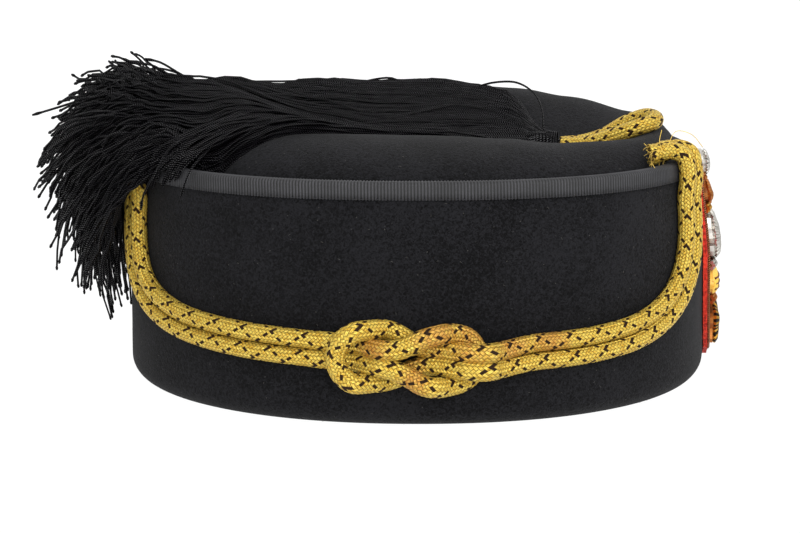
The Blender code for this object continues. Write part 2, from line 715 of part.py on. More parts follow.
def build_badge(materials, parts):
    """Generic flower spray: backing, bud, upper leaves, rosette, satin pad and palmette."""
    right = [(width * MM, height * MM) for height, width in BACKING_ROWS]
    left = [(-width * MM, height * MM) for height, width in BACKING_ROWS[::-1]]
    flat_rings = ((1.0, 1.0), (0.66, 1.0), (0.33, 1.0))
    pillow("badge_backing", right + left, (0.0, 42 * MM), 0.0, BADGE_FELT, flat_rings,
           materials["red_felt"], parts)
    seat = BADGE_FELT + BADGE_GAP
    reliefs = (
        ("badge_bud", lobed((0, 77.5 * MM), 5.5 * MM, 5.0 * MM, 5, 0.12, 20, 90.0),
         (0.0, 77.5 * MM), 3.0 * MM, "silver_bullion"),
        ("badge_upper_leaves", lobed((0, 66.2 * MM), 13.0 * MM, 5.2 * MM, 4, 0.35, 24, 0.0),
         (0.0, 66.2 * MM), 3.4 * MM, "copper_bullion"),
        ("badge_rosette", lobed((0, 50.2 * MM), 11.5 * MM, 10.2 * MM, 8, 0.16, 32, 0.0),
         (0.0, 50.2 * MM), 4.4 * MM, "silver_bullion"),
        ("badge_satin_pad", lobed((0, 33.6 * MM), 15.5 * MM, 5.9 * MM, 2, 0.0, 20, 0.0),
         (0.0, 33.6 * MM), 3.6 * MM, "yellow_satin"),
        ("badge_palmette", lobed((0, 17.4 * MM), 14.0 * MM, 9.6 * MM, 5, 0.30, 30, 90.0),
         (0.0, 17.4 * MM), 3.6 * MM, "copper_bullion"),
    )
    for name, outline, centre, rise, finish in reliefs:
        pillow(name, outline, centre, seat, rise, PILLOW_RINGS, materials[finish], parts)


def make_materials():
    """One material for each finish."""
    materials = {}
    for name, (red, green, blue, roughness, metallic) in FINISHES.items():
        material = bpy.data.materials.new(name)
        material.use_nodes = True
        shader = material.node_tree.nodes["Principled BSDF"]
        shader.inputs["Base Color"].default_value = (red, green, blue, 1.0)
        shader.inputs["Roughness"].default_value = roughness
        shader.inputs["Metallic"].default_value = metallic
        material.diffuse_color = (red, green, blue, 1.0)
        materials[name] = material
    return materials


def move_to_origin(parts):
    """Move every piece alike, so that the middle of the part's box stands on the origin."""
    bpy.context.view_layer.update()
    graph = bpy.context.evaluated_depsgraph_get()
    corners = []
    for thing in parts:
        shape = thing.evaluated_get(graph)
        corners += [shape.matrix_world @ Vector(corner) for corner in shape.bound_box]
    low, high = (Vector([pick(corner[axis] for corner in corners) for axis in range(2)])
                 for pick in (min, max))
    middle = (low + high) / 2
    for thing in bpy.data.objects:
        thing.location -= Vector((*middle, 0.0))


def main():
    """Build every piece of the cap."""
    for thing in list(bpy.data.objects):
        bpy.data.objects.remove(thing)
    parts = bpy.data.collections.new("fez")
    cutters = bpy.data.collections.new("cutters")
    bpy.context.scene.collection.children.link(parts)
    bpy.context.scene.collection.children.link(cutters)
    materials = make_materials()
    build_felt_body(materials["black_felt"], parts, cutters)
    build_edge_binding(materials["black_ribbon"], parts)
    build_near_cords(materials["gold_braid"], parts)
    build_far_cords(materials["gold_braid"], parts)
    height = top_probe(list(parts.objects))
    build_tassel(materials["black_cotton"], parts, height)
    build_tassel_loop(materials["gold_braid"], parts, height)
    build_badge(materials, parts)
    move_to_origin(parts.objects)


main()
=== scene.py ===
"""Looks of a black felt fez: turned-up cuff, bound edge, knotted gold cord, tassel and badge.

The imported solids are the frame. Every piece is worked out from the sizes that the solids have,
in metres, with the front towards +X and the right side towards -Y. Sizes are taken from the
middle of the head opening, and a finished piece moves to where the frame has that middle.
"Along" is a tape laid round the cuff: 0 at the middle of the right side, growing to the front.
"""
import math

import bmesh
import bpy
import numpy as np
from mathutils import Matrix, Vector, noise
from mathutils.bvhtree import BVHTree


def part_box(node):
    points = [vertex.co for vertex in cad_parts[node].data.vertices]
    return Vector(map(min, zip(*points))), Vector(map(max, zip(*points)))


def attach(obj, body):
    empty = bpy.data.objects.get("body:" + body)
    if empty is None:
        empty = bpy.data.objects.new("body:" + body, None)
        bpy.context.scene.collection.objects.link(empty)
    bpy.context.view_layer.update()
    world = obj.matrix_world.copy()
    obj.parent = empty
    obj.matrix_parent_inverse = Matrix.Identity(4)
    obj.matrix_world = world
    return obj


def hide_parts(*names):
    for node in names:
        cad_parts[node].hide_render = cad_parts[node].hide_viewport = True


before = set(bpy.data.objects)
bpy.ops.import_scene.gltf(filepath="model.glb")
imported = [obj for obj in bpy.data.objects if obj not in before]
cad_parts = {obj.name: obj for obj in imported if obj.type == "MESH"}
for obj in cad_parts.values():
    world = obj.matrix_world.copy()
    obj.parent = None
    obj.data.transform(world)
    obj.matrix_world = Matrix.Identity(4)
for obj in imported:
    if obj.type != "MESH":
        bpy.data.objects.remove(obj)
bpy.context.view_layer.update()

bl_info = {
    "name": "Felt fez with tassel",
    "version": (1, 0, 0),
    "blender": (4, 5, 0),
    "location": "3D View > Sidebar > Fez",
    "description": "Dresses the packed solids of a felt fez",
    "category": "Object",
}

MM = 0.001
WELD = 0.01 * MM

# Middle of the head opening in the row's frame: the felt is even about it
FELT_LOW, FELT_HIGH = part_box("felt_body")
CAP = Vector(((FELT_LOW.x + FELT_HIGH.x) / 2, (FELT_LOW.y + FELT_HIGH.y) / 2, 0.0))

# Felt cap, one piece: crown, fold at the foot, cuff turned up outside
FELT = 2.4 * MM
CLEARANCE = 0.3 * MM
RIM_HEIGHT = 84.2 * MM
FOLD_RADIUS = 7.7 * MM
INNER_FOLD_RADIUS = 2.0 * MM
PRESSED_FLAT = 0.25 * MM
# Outside of the cuff: height, half length, half width, squareness of the oval, shift forward
CUFF_ROWS = (
    (8.0, 108.0, 92.0, 2.13, 0.0),
    (45.0, 107.2, 92.3, 2.17, 0.0),
    (84.2, 102.5, 92.3, 2.30, -1.0),
)
HALF_LENGTH = CUFF_ROWS[0][1] * MM
HALF_WIDTH = CUFF_ROWS[0][2] * MM
# Crown by turn in degrees, 0 at the front and -90 on the right: top of the wall, crest
CROWN_ROWS = (
    (-180.0, 66.0, 80.0),
    (-160.0, 66.0, 82.0),
    (-146.0, 68.0, 88.5),
    (-131.0, 70.0, 92.8),
    (-88.0, 70.0, 92.3),
    (-67.0, 70.0, 91.3),
    (-51.0, 72.0, 89.3),
    (-26.0, 76.0, 89.5),
    (0.0, 79.0, 90.5),
    (26.0, 77.0, 91.7),
    (45.0, 74.0, 96.2),
    (60.0, 72.0, 99.3),
    (90.0, 72.0, 101.5),
    (130.0, 70.0, 100.0),
    (152.0, 67.0, 90.0),
    (180.0, 66.0, 80.0),
)
WALL_SHIFT = 3.5 * MM
WALL_MIDDLE = 36.0 * MM
CREST_HALF_LENGTH = 84.0 * MM
CREST_HALF_WIDTH = 49.0 * MM
CREST_SQUARENESS = 3.0
CREST_CENTRE = Vector((6.0 * MM, 3.0 * MM, 0.0))
VALLEY_HALF_LENGTH = 56.0 * MM
VALLEY_CENTRE = Vector((6.0 * MM, -3.0 * MM, 79.0 * MM))
COLUMNS = 144
# Unevenness of the felt: width of a swelling and how far it stands
SWELLINGS = ((46.0 * MM, 0.30 * MM), (9.0 * MM, 0.12 * MM))

# Ribbon folded over the cuff's edge
RIBBON_WIDTH = 6.0 * MM
RIBBON_THICKNESS = 0.6 * MM
RIBBON_ROUND = 1.3 * MM
RIB_COLUMNS = 4

# Gold cord: a round braid
CORD_DIAMETER = 6.0 * MM
CORD_SPACING = 6.3 * MM
CORD_STANDOFF = 3.4 * MM
# Middle of the double cord: along, height, from the cuff's edge at the back to the knot
BACK_SWAG = (
    (-115.5, 72.0), (-115.8, 63.0), (-114.6, 53.0), (-110.0, 43.5), (-101.5, 36.8), (-89.0, 32.4),
    (-75.0, 30.2), (-60.0, 28.9), (-46.5, 28.2),
)
# and from the knot to the cuff's edge at the front
FRONT_SWAG = (
    (37.0, 26.2), (48.0, 26.6), (61.0, 27.3), (76.0, 29.2), (88.5, 33.4), (98.5, 40.5),
    (105.0, 50.5), (107.8, 62.0), (108.0, 72.0),
)
# Plain run that the far side has in the knot's place
PLAIN_SWAG = ((-30.0, 26.4), (-10.0, 25.6), (12.0, 25.1))
# Cord turned in over the edge: step along, height, standoff from the cuff
FRONT_TURN = (
    (0.0, 79.0, 4.5), (0.0, 84.0, 4.3), (-0.5, 87.0, 3.2), (-1.5, 88.5, 0.2), (-3.6, 88.3, -3.4),
    (-6.4, 87.2, -6.6),
)
BACK_TURN = (
    (0.0, 79.0, 4.6), (0.0, 84.0, 4.8), (0.5, 87.5, 3.9), (1.0, 89.3, 0.2), (1.5, 89.0, -3.8),
    (2.0, 86.6, -7.8),
)
OUTER_DRIFT = 0.15
FAR_FRONT_END = ((0.0, 78.0, 4.5), (0.0, 82.4, 4.5))

# Reef knot
KNOT_ALONG = -3.5 * MM
KNOT_LIFT = 6.4 * MM
KNOT_REACH = 22.6 * MM
# Each bight: height of its middle line, tilt in degrees, radius of its closed end
BACK_BIGHT = (25.9, -3.2, 8.7)
FRONT_BIGHT = (26.0, -2.0, 9.5)
# The knot presses the cord: share of its width off the cuff and along it, all the way inside
# the first distance from the knot's middle and not at all past the second
SQUEEZE = 0.92
FLATTEN = 1.14
SQUEEZE_INSIDE = 24.0 * MM
SQUEEZE_OUTSIDE = 36.0 * MM
# One leg of a bight, towards its closed end: along the knot, away from its middle line,
# share of the lift in the back bight, share of the lift in the front bight
KNOT_LEG = (
    (-29.5, 3.05, 0.0, 0.45),
    (-25.5, 2.95, 0.0, 0.92),
    (-22.6, 2.90, 0.0, 1.0),
    (-19.0, 2.90, 0.0, 0.86),
    (-16.0, 2.90, 0.12, 0.55),
    (-12.0, 2.90, 0.50, 0.20),
    (-8.0, 2.90, 0.88, 0.04),
    (-4.0, 3.50, 1.0, 0.0),
    (0.0, 5.20, 1.0, 0.0),
    (4.0, 7.50, 1.0, 0.0),
    (8.0, 8.80, 0.84, 0.06),
    (12.5, 9.00, 0.35, 0.45),
)
BIGHT_TURNS = (65.0, 40.0, 18.0, 0.0)
BIGHT_LIFT = (0.04, 0.0, 0.0, 0.0)
FRONT_BIGHT_LIFT = (0.92, 1.0, 1.0, 1.0)

# Braid: strands each way, threads in a strand, length of one turn of a strand, columns of the
# mesh in one cell
CARRIERS = 16
THREADS = 2
LAY = 22.0 * MM
# One strand in so many is dark, each way
DARK_STEP = 8.0
CELL_COLUMNS = 3
FAR_CELL_COLUMNS = 2
# Cut end: how much it spreads and over what length
FLARE = 0.3
FLARE_LENGTH = 2.6 * MM
# Its hole: share of the cord's width at the lip, the mouth and the bottom, depth of both
LIP_SHARE = 0.93
HOLE_SHARE = 0.84
HOLE_TAPER = 0.86
MOUTH_DEPTH = 0.2 * MM
HOLE_DEPTH = 5.0 * MM
# Copper showing through the worn gilt: x, height and spread, on the right side
WORN_SPOTS = ((5.0, 34.0, 9.0), (17.0, 33.0, 10.0), (30.0, 29.5, 8.0), (43.0, 31.0, 9.0),
              (-14.0, 30.0, 6.0), (-2.0, 20.0, 6.0))
WORN_SIDE = -60.0 * MM
# Loose threads of a cut end: shortest and longest in mm, start inside the end, share of the
# cord's width that they start from its middle
LOOSE_LENGTHS = (1.2, 3.4)
LOOSE_START = 0.8
LOOSE_REACH = 0.54
# Three long ones that stand up over the front edge of the cuff: x, y, height
LONG_THREADS = (
    ((83.5, -61.5, 90.0), (82.4, -61.0, 93.0), (83.2, -60.0, 97.0)),
    ((85.0, -61.0, 91.0), (88.0, -60.0, 96.4), (93.5, -60.0, 95.4), (97.5, -60.0, 91.0)),
    ((84.4, -62.0, 89.5), (80.4, -62.0, 90.0), (79.6, -61.5, 86.6), (81.0, -61.5, 84.0)),
)

# Gold loop at the tassel's head: x, y, height above the crown
LOOP_ROUTE = (
    (54.0, -0.6, 3.6), (62.0, 0.6, 3.8), (70.0, 0.8, 4.4), (78.0, 0.2, 4.9), (84.5, -3.0, 4.8),
    (87.6, -8.5, 4.2), (86.5, -13.5, 3.6), (80.5, -16.5, 3.3), (72.0, -14.5, 3.3),
    (63.0, -10.0, 3.5), (54.0, -6.4, 3.8),
)

# Tassel: head in the valley, bare strands laid back over the rim
HEAD_X = 47.0 * MM
HEAD_Y = -4.0 * MM
HEAD_RADIUS = 5.0 * MM
HEAD_LENGTH = 12.0 * MM
ROOT_RADIUS = 3.6 * MM
BOUND_RADIUS = 2.7 * MM
GOLDEN_SHARE = 0.618034
GOLDEN_ANGLE = math.radians(137.5)
# Laid strands: x, right edge, left edge, depth of the pile
LAID_ROWS = (
    (-80.0, -61.0, 40.0, 27.0),
    (-71.0, -57.5, 42.0, 25.0),
    (-62.0, -53.5, 44.0, 21.0),
    (-42.0, -44.0, 47.0, 12.0),
    (-18.0, -38.0, 48.0, 7.2),
    (8.0, -33.0, 48.0, 5.5),
    (26.0, -27.0, 46.0, 5.0),
    (36.0, -21.0, 41.0, 4.6),
    (41.0, -16.0, 33.0, 4.4),
    (45.0, -11.0, 21.0, 4.4),
    (50.0, -8.0, 5.0, 4.4),
)
# Free strands by layer, 0 the lowest: turning place x and height, tip x and height
FREE_ROWS = (
    (0.00, -122.0, 88.0, -110.5, 21.0),
    (0.10, -123.0, 89.0, -117.0, 28.0),
    (0.25, -125.0, 91.0, -125.0, 38.0),
    (0.40, -124.0, 95.0, -131.0, 53.0),
    (0.55, -121.0, 100.0, -137.0, 70.0),
    (0.70, -118.0, 106.0, -135.0, 85.0),
    (0.82, -112.0, 110.0, -128.0, 97.0),
    (0.92, -106.0, 112.5, -122.0, 105.0),
    (1.00, -99.0, 114.5, -112.0, 110.5),
)
LEAD_LENGTH = 18.0 * MM
TIP_RIGHT = -34.0 * MM
TIP_LEFT = 38.0 * MM
# Strands at the right edge droop over the cuff: share of the width, first and second turning
# place, tip, and how far the top layer lies above the lowest
DROOP_SHARE = 0.26
DROOP = ((-88.0, -63.0, 88.0), (-104.0, -62.0, 78.0), (-117.0, -46.0, 46.0))
DROOP_LAYERS = 17.0 * MM
LAID_STEPS = 24
FREE_STEPS = 23
# Side waves of a laid strand in mm: reach, length; share of strands that swing farther, how far
WAVE_REACH = (0.2, 1.3)
WAVE_LENGTH = (32, 78)
FAR_SWING = (0.05, 2.4)
# Pile: how much lower its edges lie, unevenness of the layers, highest layer
PILE_ROUND = 0.75
PILE_UNEVEN = 0.03
PILE_TOP = 1.1
# Free tips in mm: scatter in x, y and height, lowest height; share that a strand may be shorter,
# and how far it bends on its way
TIP_SCATTER = (3.2, 4.0, 4.0)
TIP_LOWEST = 21
SHORTEST = 0.24
KINK = 1.3
STRAND_STEP = 2.0 * MM
# Knot at a tip: length on both sides of the tip, share of the strand's width there
TIP_KNOT = (0.9 * MM, 0.8 * MM)
TIP_KNOT_WIDTHS = (1.45, 0.8)
CURTAIN_SCATTER = 0.9 * MM
CURTAIN_SHORTEST = 0.82
# Wound head: turns of its thread, points in a turn, width of the thread in strands
HEAD_TURNS = 13
HEAD_STEPS = 24
HEAD_THREAD = 1.3
# Strays that stand away from the pile: points of each, x, y and height
STRAYS = (
    ((-27.0, 47.0, 100.0), (-20.0, 47.0, 103.0), (-11.0, 46.0, 104.5), (-6.0, 45.0, 103.0),
     (-1.0, 42.0, 101.5)),
    ((24.0, 41.0, 101.5), (31.0, 38.0, 103.5), (39.0, 32.0, 104.0), (45.0, 22.0, 101.0),
     (47.5, 12.0, 95.5), (47.5, 3.0, 89.0)),
    ((-86.0, 4.0, 106.0), (-93.0, 3.0, 110.0), (-99.0, 2.0, 113.5), (-105.0, 0.0, 114.5),
     (-110.0, -2.0, 116.5)),
    ((-82.0, 12.0, 105.0), (-90.0, 12.0, 109.5), (-97.0, 12.0, 113.6), (-103.0, 12.0, 115.0)),
    ((-84.0, 20.0, 105.0), (-92.0, 20.0, 109.0), (-99.0, 20.0, 110.6), (-106.0, 20.0, 109.6)),
    ((-88.0, -6.0, 105.0), (-98.0, -6.0, 109.0), (-107.0, -8.0, 109.0), (-117.0, -8.0, 111.0)),
    ((-104.0, 6.0, 106.0), (-118.0, 4.0, 103.0), (-132.0, 2.0, 98.5), (-144.0, 0.0, 95.0)),
    ((-72.0, -44.0, 99.0), (-84.0, -56.0, 93.0), (-90.0, -63.0, 83.0), (-94.5, -61.5, 75.0),
     (-96.0, -59.0, 69.0)),
    ((-54.0, -42.0, 97.0), (-66.0, -52.0, 94.5), (-74.5, -66.5, 88.0), (-78.0, -71.5, 83.0),
     (-81.0, -69.5, 75.0)),
)
# Strands over the bound edge: the first and the last of them
CURTAIN = (
    ((-62.0, -46.0, 101.0), (-76.0, -55.0, 98.0), (-87.0, -60.0, 92.0), (-94.0, -58.5, 84.0),
     (-99.0, -54.0, 73.0)),
    ((-48.0, -42.0, 97.0), (-60.0, -50.0, 95.5), (-70.0, -60.0, 91.5), (-78.0, -67.6, 86.8),
     (-83.5, -66.5, 79.0)),
)
# Crinkle of a strand: length of a wave, and how far it stands aside
CRINKLES = ((23.0, 0.5), (11.0, 0.33), (7.3, 0.22))
LAID_CRINKLE = 0.35

# Badge at the front, in heights above the ground and half widths along the cuff
BADGE_FELT = 1.5 * MM
BADGE_GAP = 0.45 * MM
BACKING_ROWS = ((5.5, 8.0), (10.0, 17.0), (20.0, 22.5), (34.0, 24.5), (48.0, 23.0), (60.0, 19.5),
                (71.0, 15.0), (79.0, 10.0), (83.0, 4.0))
BACKING_MIDDLE = 42.0
BADGE_LEAN_FROM = 68.0 * MM
BADGE_LEAN_TO = 77.5 * MM
BADGE_LEAN = 0.9 * MM
# Three rows of purl that fill a gap: step, how far the outer two lie back, drop at the ends
ROW_STEP = 1.1 * MM
ROW_BACK = 0.7 * MM
ROW_DROP = 1.4 * MM
# Filling rows: name, height, half width, how far they stand off, metal
FILLING_ROWS = (
    ("badge_row_top", 72.2, 6.5, 2.3, "copper"), ("badge_row_high", 61.2, 9.5, 2.9, "gilt"),
    ("badge_row_mid", 40.2, 12.5, 3.0, "silver"), ("badge_row_low", 27.3, 13.0, 3.0, "copper"),
)
# Wound wires: bright colour, tarnish, roughness
WIRES = {
    "silver": ("#e4e2dc", "#9a958c", 0.28),
    "copper": ("#d08a45", "#8a4a22", 0.34),
    "gilt": ("#e2b04a", "#a87620", 0.34),
    "black": ("#2a2420", "#15110f", 0.4),
}
# Crown of a padded relief: share of the way out, share of its rise
PAD_CROWN = ((0.0, 1.0), (0.45, 1.0), (0.82, 0.8), (1.0, 0.45))

# Padded reliefs: middle, half sizes, rise, lobes of the outline (number, depth, start), rays
RELIEFS = {
    "badge_bud": {"height": 77.5 * MM, "across": 5.5 * MM, "tall": 5.0 * MM, "rise": 3.0 * MM,
                  "lobes": (5, 0.12, math.radians(90)), "rays": 16},
    "badge_upper_leaves": {"height": 66.2 * MM, "across": 13.0 * MM, "tall": 5.2 * MM,
                           "rise": 3.4 * MM, "lobes": (4, 0.35, 0.0), "rays": 30},
    "badge_rosette": {"height": 50.2 * MM, "across": 11.5 * MM, "tall": 10.2 * MM, "rise": 4.4 * MM,
                      "lobes": (8, 0.16, 0.0), "rays": 48},
    "badge_satin_pad": {"height": 33.6 * MM, "across": 15.5 * MM, "tall": 5.9 * MM,
                        "rise": 3.6 * MM, "lobes": (2, 0.0, 0.0), "rays": 0},
    "badge_palmette": {"height": 17.4 * MM, "across": 14.0 * MM, "tall": 9.6 * MM, "rise": 3.6 * MM,
                       "lobes": (5, 0.30, math.radians(90)), "rays": 46},
}

# Camera: place, tilt from straight down in degrees, lens on a full-frame sensor
CAMERA_PLACE = Vector((-6.42 * MM, -0.700, 0.1773))
CAMERA_TILT = 78.69
CAMERA_LENS = 84.55
SENSOR = 36.0
FLOOR_REACH = 6.0
# Square lamps: name, place, width, setting with the power; all look at a height over the middle
LAMPS = (("overhead", (0.45, -0.45, 0.9), 0.7, "key"), ("front", (0.25, -1.1, 0.45), 0.7, "fill"))
LAMP_AIM = Vector((0.0, 0.0, 50 * MM))


def linear(code):
    """Linear colour of an sRGB hex value."""
    shares = [int(code[k:k + 2], 16) / 255 for k in (1, 3, 5)]
    return tuple(s / 12.92 if s <= 0.04045 else ((s + 0.055) / 1.055) ** 2.4 for s in shares)


def smooth_step(share):
    """Ease from 0 to 1 without a corner at either end."""
    share = np.clip(share, 0.0, 1.0)
    return share * share * (3 - 2 * share)


def read_table(rows, key, column):
    """Value of a column at a key, eased between the rows."""
    for first, second in zip(rows, rows[1:]):
        if key <= second[0]:
            share = (key - first[0]) / (second[0] - first[0])
            return first[column] + (second[column] - first[column]) * float(smooth_step(share))
    return rows[-1][column]


def read_line(rows, key, column):
    """Value of a column at a key, in straight runs between the rows."""
    return np.interp(key, [row[0] for row in rows], [row[column] for row in rows])


def oval(turn, half_length, half_width, power, centre_x=0.0):
    """Point on a squared oval, on the ray that spreads the columns evenly round the cap."""
    x = HALF_LENGTH * math.cos(turn)
    y = HALF_WIDTH * math.sin(turn)
    reach = (abs(x / half_length) ** power + abs(y / half_width) ** power) ** (-1 / power)
    return Vector((centre_x + x * reach, y * reach, 0.0))


def cuff_point(turn, height, outset):
    """Point at a height, outset from the outside of the cuff."""
    row = [float(read_line(CUFF_ROWS, height / MM, column)) for column in range(1, 5)]
    point = oval(turn, row[0] * MM + outset, row[1] * MM + outset, row[2], row[3] * MM)
    point.z = height
    return point


def tape_marks(count=1440):
    """Turns and their distances along the tape, from the back round the right side and on."""
    turns = np.linspace(-math.pi, 1.5 * math.pi, count)
    points = [cuff_point(turn, FOLD_RADIUS, 0.0) for turn in turns]
    steps = [(b - a).length for a, b in zip(points, points[1:])]
    lengths = np.concatenate([[0.0], np.cumsum(steps)])
    return turns, lengths - np.interp(-math.pi / 2, turns, lengths)


TURNS, TAPE = tape_marks()
FRONT_ALONG = float(np.interp(0.0, TURNS, TAPE))


def on_cuff(along, height, standoff):
    """Point off the cuff's face at a place on the tape."""
    turn = float(np.interp(along, TAPE, TURNS))
    point = cuff_point(turn, height, 0.0)
    ahead = cuff_point(turn + 0.01, height, 0.0)
    tangent = (ahead - point).normalized()
    return point + Vector((tangent.y, -tangent.x, 0.0)) * standoff


def smooth_route(points, step):
    """Points at an even step on a smooth curve through a route, as an array."""
    points = np.array([tuple(point) for point in points])
    ends = np.vstack([2 * points[0] - points[1], points, 2 * points[-1] - points[-2]])
    fine = []
    for k in range(1, len(ends) - 2):
        before, start, stop, after = ends[k - 1:k + 3]
        for share in np.linspace(0, 1, 16, endpoint=False):
            square = share * share
            cube = square * share
            fine.append(0.5 * (2 * start + (stop - before) * share
                               + (2 * before - 5 * start + 4 * stop - after) * square
                               + (3 * start - before - 3 * stop + after) * cube))
    fine = np.array(fine + [points[-1]])
    return even_steps(fine, step)


def even_steps(fine, step):
    """The same line at an even step."""
    lengths = np.concatenate([[0.0], np.cumsum(np.linalg.norm(np.diff(fine, axis=0), axis=1))])
    marks = np.linspace(0, lengths[-1], max(3, round(lengths[-1] / step) + 1))
    return np.stack([np.interp(marks, lengths, fine[:, axis]) for axis in range(3)], axis=1)


def read_points(mesh):
    """Places of a mesh's points, as an array."""
    places = np.empty(3 * len(mesh.vertices))
    mesh.vertices.foreach_get("co", places)
    return places.reshape(-1, 3)


def new_piece(name, mesh):
    """Object for a mesh, in the scene."""
    piece = bpy.data.objects.new(name, mesh)
    bpy.context.scene.collection.objects.link(piece)
    return piece


def mesh_from(name, vertices, faces, edges=()):
    """Mesh from plain lists."""
    mesh = bpy.data.meshes.new(name)
    mesh.from_pydata([tuple(vertex) for vertex in vertices], list(edges), list(faces))
    mesh.update()
    return mesh


def face_outward(mesh):
    """Weld points that lie in one place, and turn all faces outward."""
    body = bmesh.new()
    body.from_mesh(mesh)
    bmesh.ops.remove_doubles(body, verts=body.verts, dist=WELD)
    bmesh.ops.recalc_face_normals(body, faces=body.faces)
    body.to_mesh(mesh)
    body.free()


def ring_faces(row, next_row, count):
    """Faces between two rings of points, given by the number of each ring's first point."""
    return [(row + k, row + (k + 1) % count, next_row + (k + 1) % count, next_row + k)
            for k in range(count)]


def point_values(mesh, name, values, kind="FLOAT"):
    """Store a value for each point of a mesh."""
    layer = mesh.attributes.new(name, kind, "POINT")
    field = "value" if kind == "FLOAT" else "vector"
    layer.data.foreach_set(field, np.asarray(values, dtype=np.float32).ravel())


def settle(piece):
    """Bake a piece's modifiers into a plain mesh."""
    bpy.context.view_layer.update()
    graph = bpy.context.evaluated_depsgraph_get()
    mesh = bpy.data.meshes.new_from_object(piece.evaluated_get(graph))
    piece.modifiers.clear()
    piece.data = mesh
    return piece


def hand_over(piece, slot, nodes=()):
    """Move a finished piece to the frame's middle, hang it from the root and hide what it replaces.
    """
    piece.data.transform(Matrix.Translation(CAP))
    piece.data.update()
    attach(piece, "root")
    if nodes:
        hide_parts(*nodes)
    return piece


def set_inputs(tree, node, inputs):
    """Give a node's inputs a value each, or a link from a socket or from a node's first output."""
    for key, value in inputs.items():
        if isinstance(value, bpy.types.Node):
            value = value.outputs[0]
        if isinstance(value, bpy.types.NodeSocket):
            tree.links.new(value, node.inputs[key])
        else:
            node.inputs[key].default_value = value


def add_node(tree, kind, inputs=None, **settings):
    """Add a node, with its settings by name and its inputs."""
    node = tree.nodes.new(kind)
    for name, value in settings.items():
        setattr(node, name, value)
    set_inputs(tree, node, inputs or {})
    return node


def new_material(name, finish):
    """Material with the values that are the same all over it set on the shader itself."""
    material = bpy.data.materials.new(name)
    material.use_nodes = True
    shader = material.node_tree.nodes["Principled BSDF"]
    set_inputs(material.node_tree, shader, finish)
    return material, material.node_tree, shader


def new_tree(name, sockets):
    """Geometry Nodes tree with its named inputs; gives the tree, its inputs and its output."""
    tree = bpy.data.node_groups.new(name, "GeometryNodeTree")
    tree.interface.new_socket("Geometry", in_out="INPUT", socket_type="NodeSocketGeometry")
    tree.interface.new_socket("Geometry", in_out="OUTPUT", socket_type="NodeSocketGeometry")
    for title, kind in sockets:
        tree.interface.new_socket(title, in_out="INPUT", socket_type="NodeSocket" + kind)
    start = tree.nodes.new("NodeGroupInput")
    end = tree.nodes.new("NodeGroupOutput")
    return tree, start.outputs, end.inputs[0]


def grow(piece, tree, **values):
    """Run a tree on a piece, with its inputs set first, and bake the result."""
    modifier = piece.modifiers.new(tree.name, "NODES")
    modifier.node_group = tree
    for item in tree.interface.items_tree:
        if item.in_out == "INPUT" and item.name in values:
            modifier[item.identifier] = values[item.name]
    return settle(piece)


def end_tree(tree, geometry, output, material=None):
    """Last nodes of a tree: real meshes, smooth, with their material if the tree gives it."""
    real = add_node(tree, "GeometryNodeRealizeInstances", {"Geometry": geometry})
    last = add_node(tree, "GeometryNodeSetShadeSmooth", {"Geometry": real})
    if material:
        last = add_node(tree, "GeometryNodeSetMaterial", {"Geometry": last, "Material": material})
    tree.links.new(last.outputs[0], output)


def strand_tree():
    """Tree that turns lines into round strands, with marks round and along them for the twist."""
    tree, given, output = new_tree("strand", (("Radius", "Float"), ("Sides", "Int"),
                                              ("Material", "Material")))
    line = add_node(tree, "GeometryNodeMeshToCurve", {"Mesh": given["Geometry"]})
    length = add_node(tree, "GeometryNodeSplineParameter")
    marked = add_node(tree, "GeometryNodeStoreNamedAttribute",
                      {"Geometry": line, "Name": "along", "Value": length.outputs["Length"]},
                      data_type="FLOAT", domain="POINT")
    ring = add_node(tree, "GeometryNodeCurvePrimitiveCircle",
                    {"Resolution": given["Sides"], "Radius": given["Radius"]})
    place = add_node(tree, "GeometryNodeInputPosition")
    around = add_node(tree, "ShaderNodeVectorMath", {0: place}, operation="NORMALIZE")
    profile = add_node(tree, "GeometryNodeStoreNamedAttribute",
                       {"Geometry": ring, "Name": "around", 3: around},
                       data_type="FLOAT_VECTOR", domain="POINT")
    thick = add_node(tree, "GeometryNodeInputNamedAttribute", {"Name": "thick"}, data_type="FLOAT")
    tube = add_node(tree, "GeometryNodeCurveToMesh",
                    {"Curve": marked, "Profile Curve": profile,
                     "Scale": thick, "Fill Caps": True})
    end_tree(tree, tube, output, given["Material"])
    return tree


def purl_tree():
    """Tree that winds lines as purl: a close coil of bright wire."""
    tree, given, output = new_tree("purl", (("Radius", "Float"), ("Coil", "Float"),
                                            ("Depth", "Float"), ("Material", "Material")))
    line = add_node(tree, "GeometryNodeMeshToCurve", {"Mesh": given["Geometry"]})
    step = add_node(tree, "ShaderNodeMath", {0: given["Coil"], 1: 3.0}, operation="DIVIDE")
    even = add_node(tree, "GeometryNodeResampleCurve",
                    {"Curve": line, "Length": step}, mode="LENGTH")
    length = add_node(tree, "GeometryNodeSplineParameter")
    turns = add_node(tree, "ShaderNodeMath",
                     {0: length.outputs["Length"], 1: given["Coil"]}, operation="DIVIDE")
    angle = add_node(tree, "ShaderNodeMath", {0: turns, 1: math.tau}, operation="MULTIPLY")
    wave = add_node(tree, "ShaderNodeMath", {0: angle}, operation="COSINE")
    scale = add_node(tree, "ShaderNodeMath",
                     {0: wave, 1: given["Depth"], 2: 1.0}, operation="MULTIPLY_ADD")
    ring = add_node(tree, "GeometryNodeCurvePrimitiveCircle",
                    {"Resolution": 7, "Radius": given["Radius"]})
    tube = add_node(tree, "GeometryNodeCurveToMesh",
                    {"Curve": even, "Profile Curve": ring,
                     "Scale": scale, "Fill Caps": True})
    end_tree(tree, tube, output, given["Material"])
    return tree


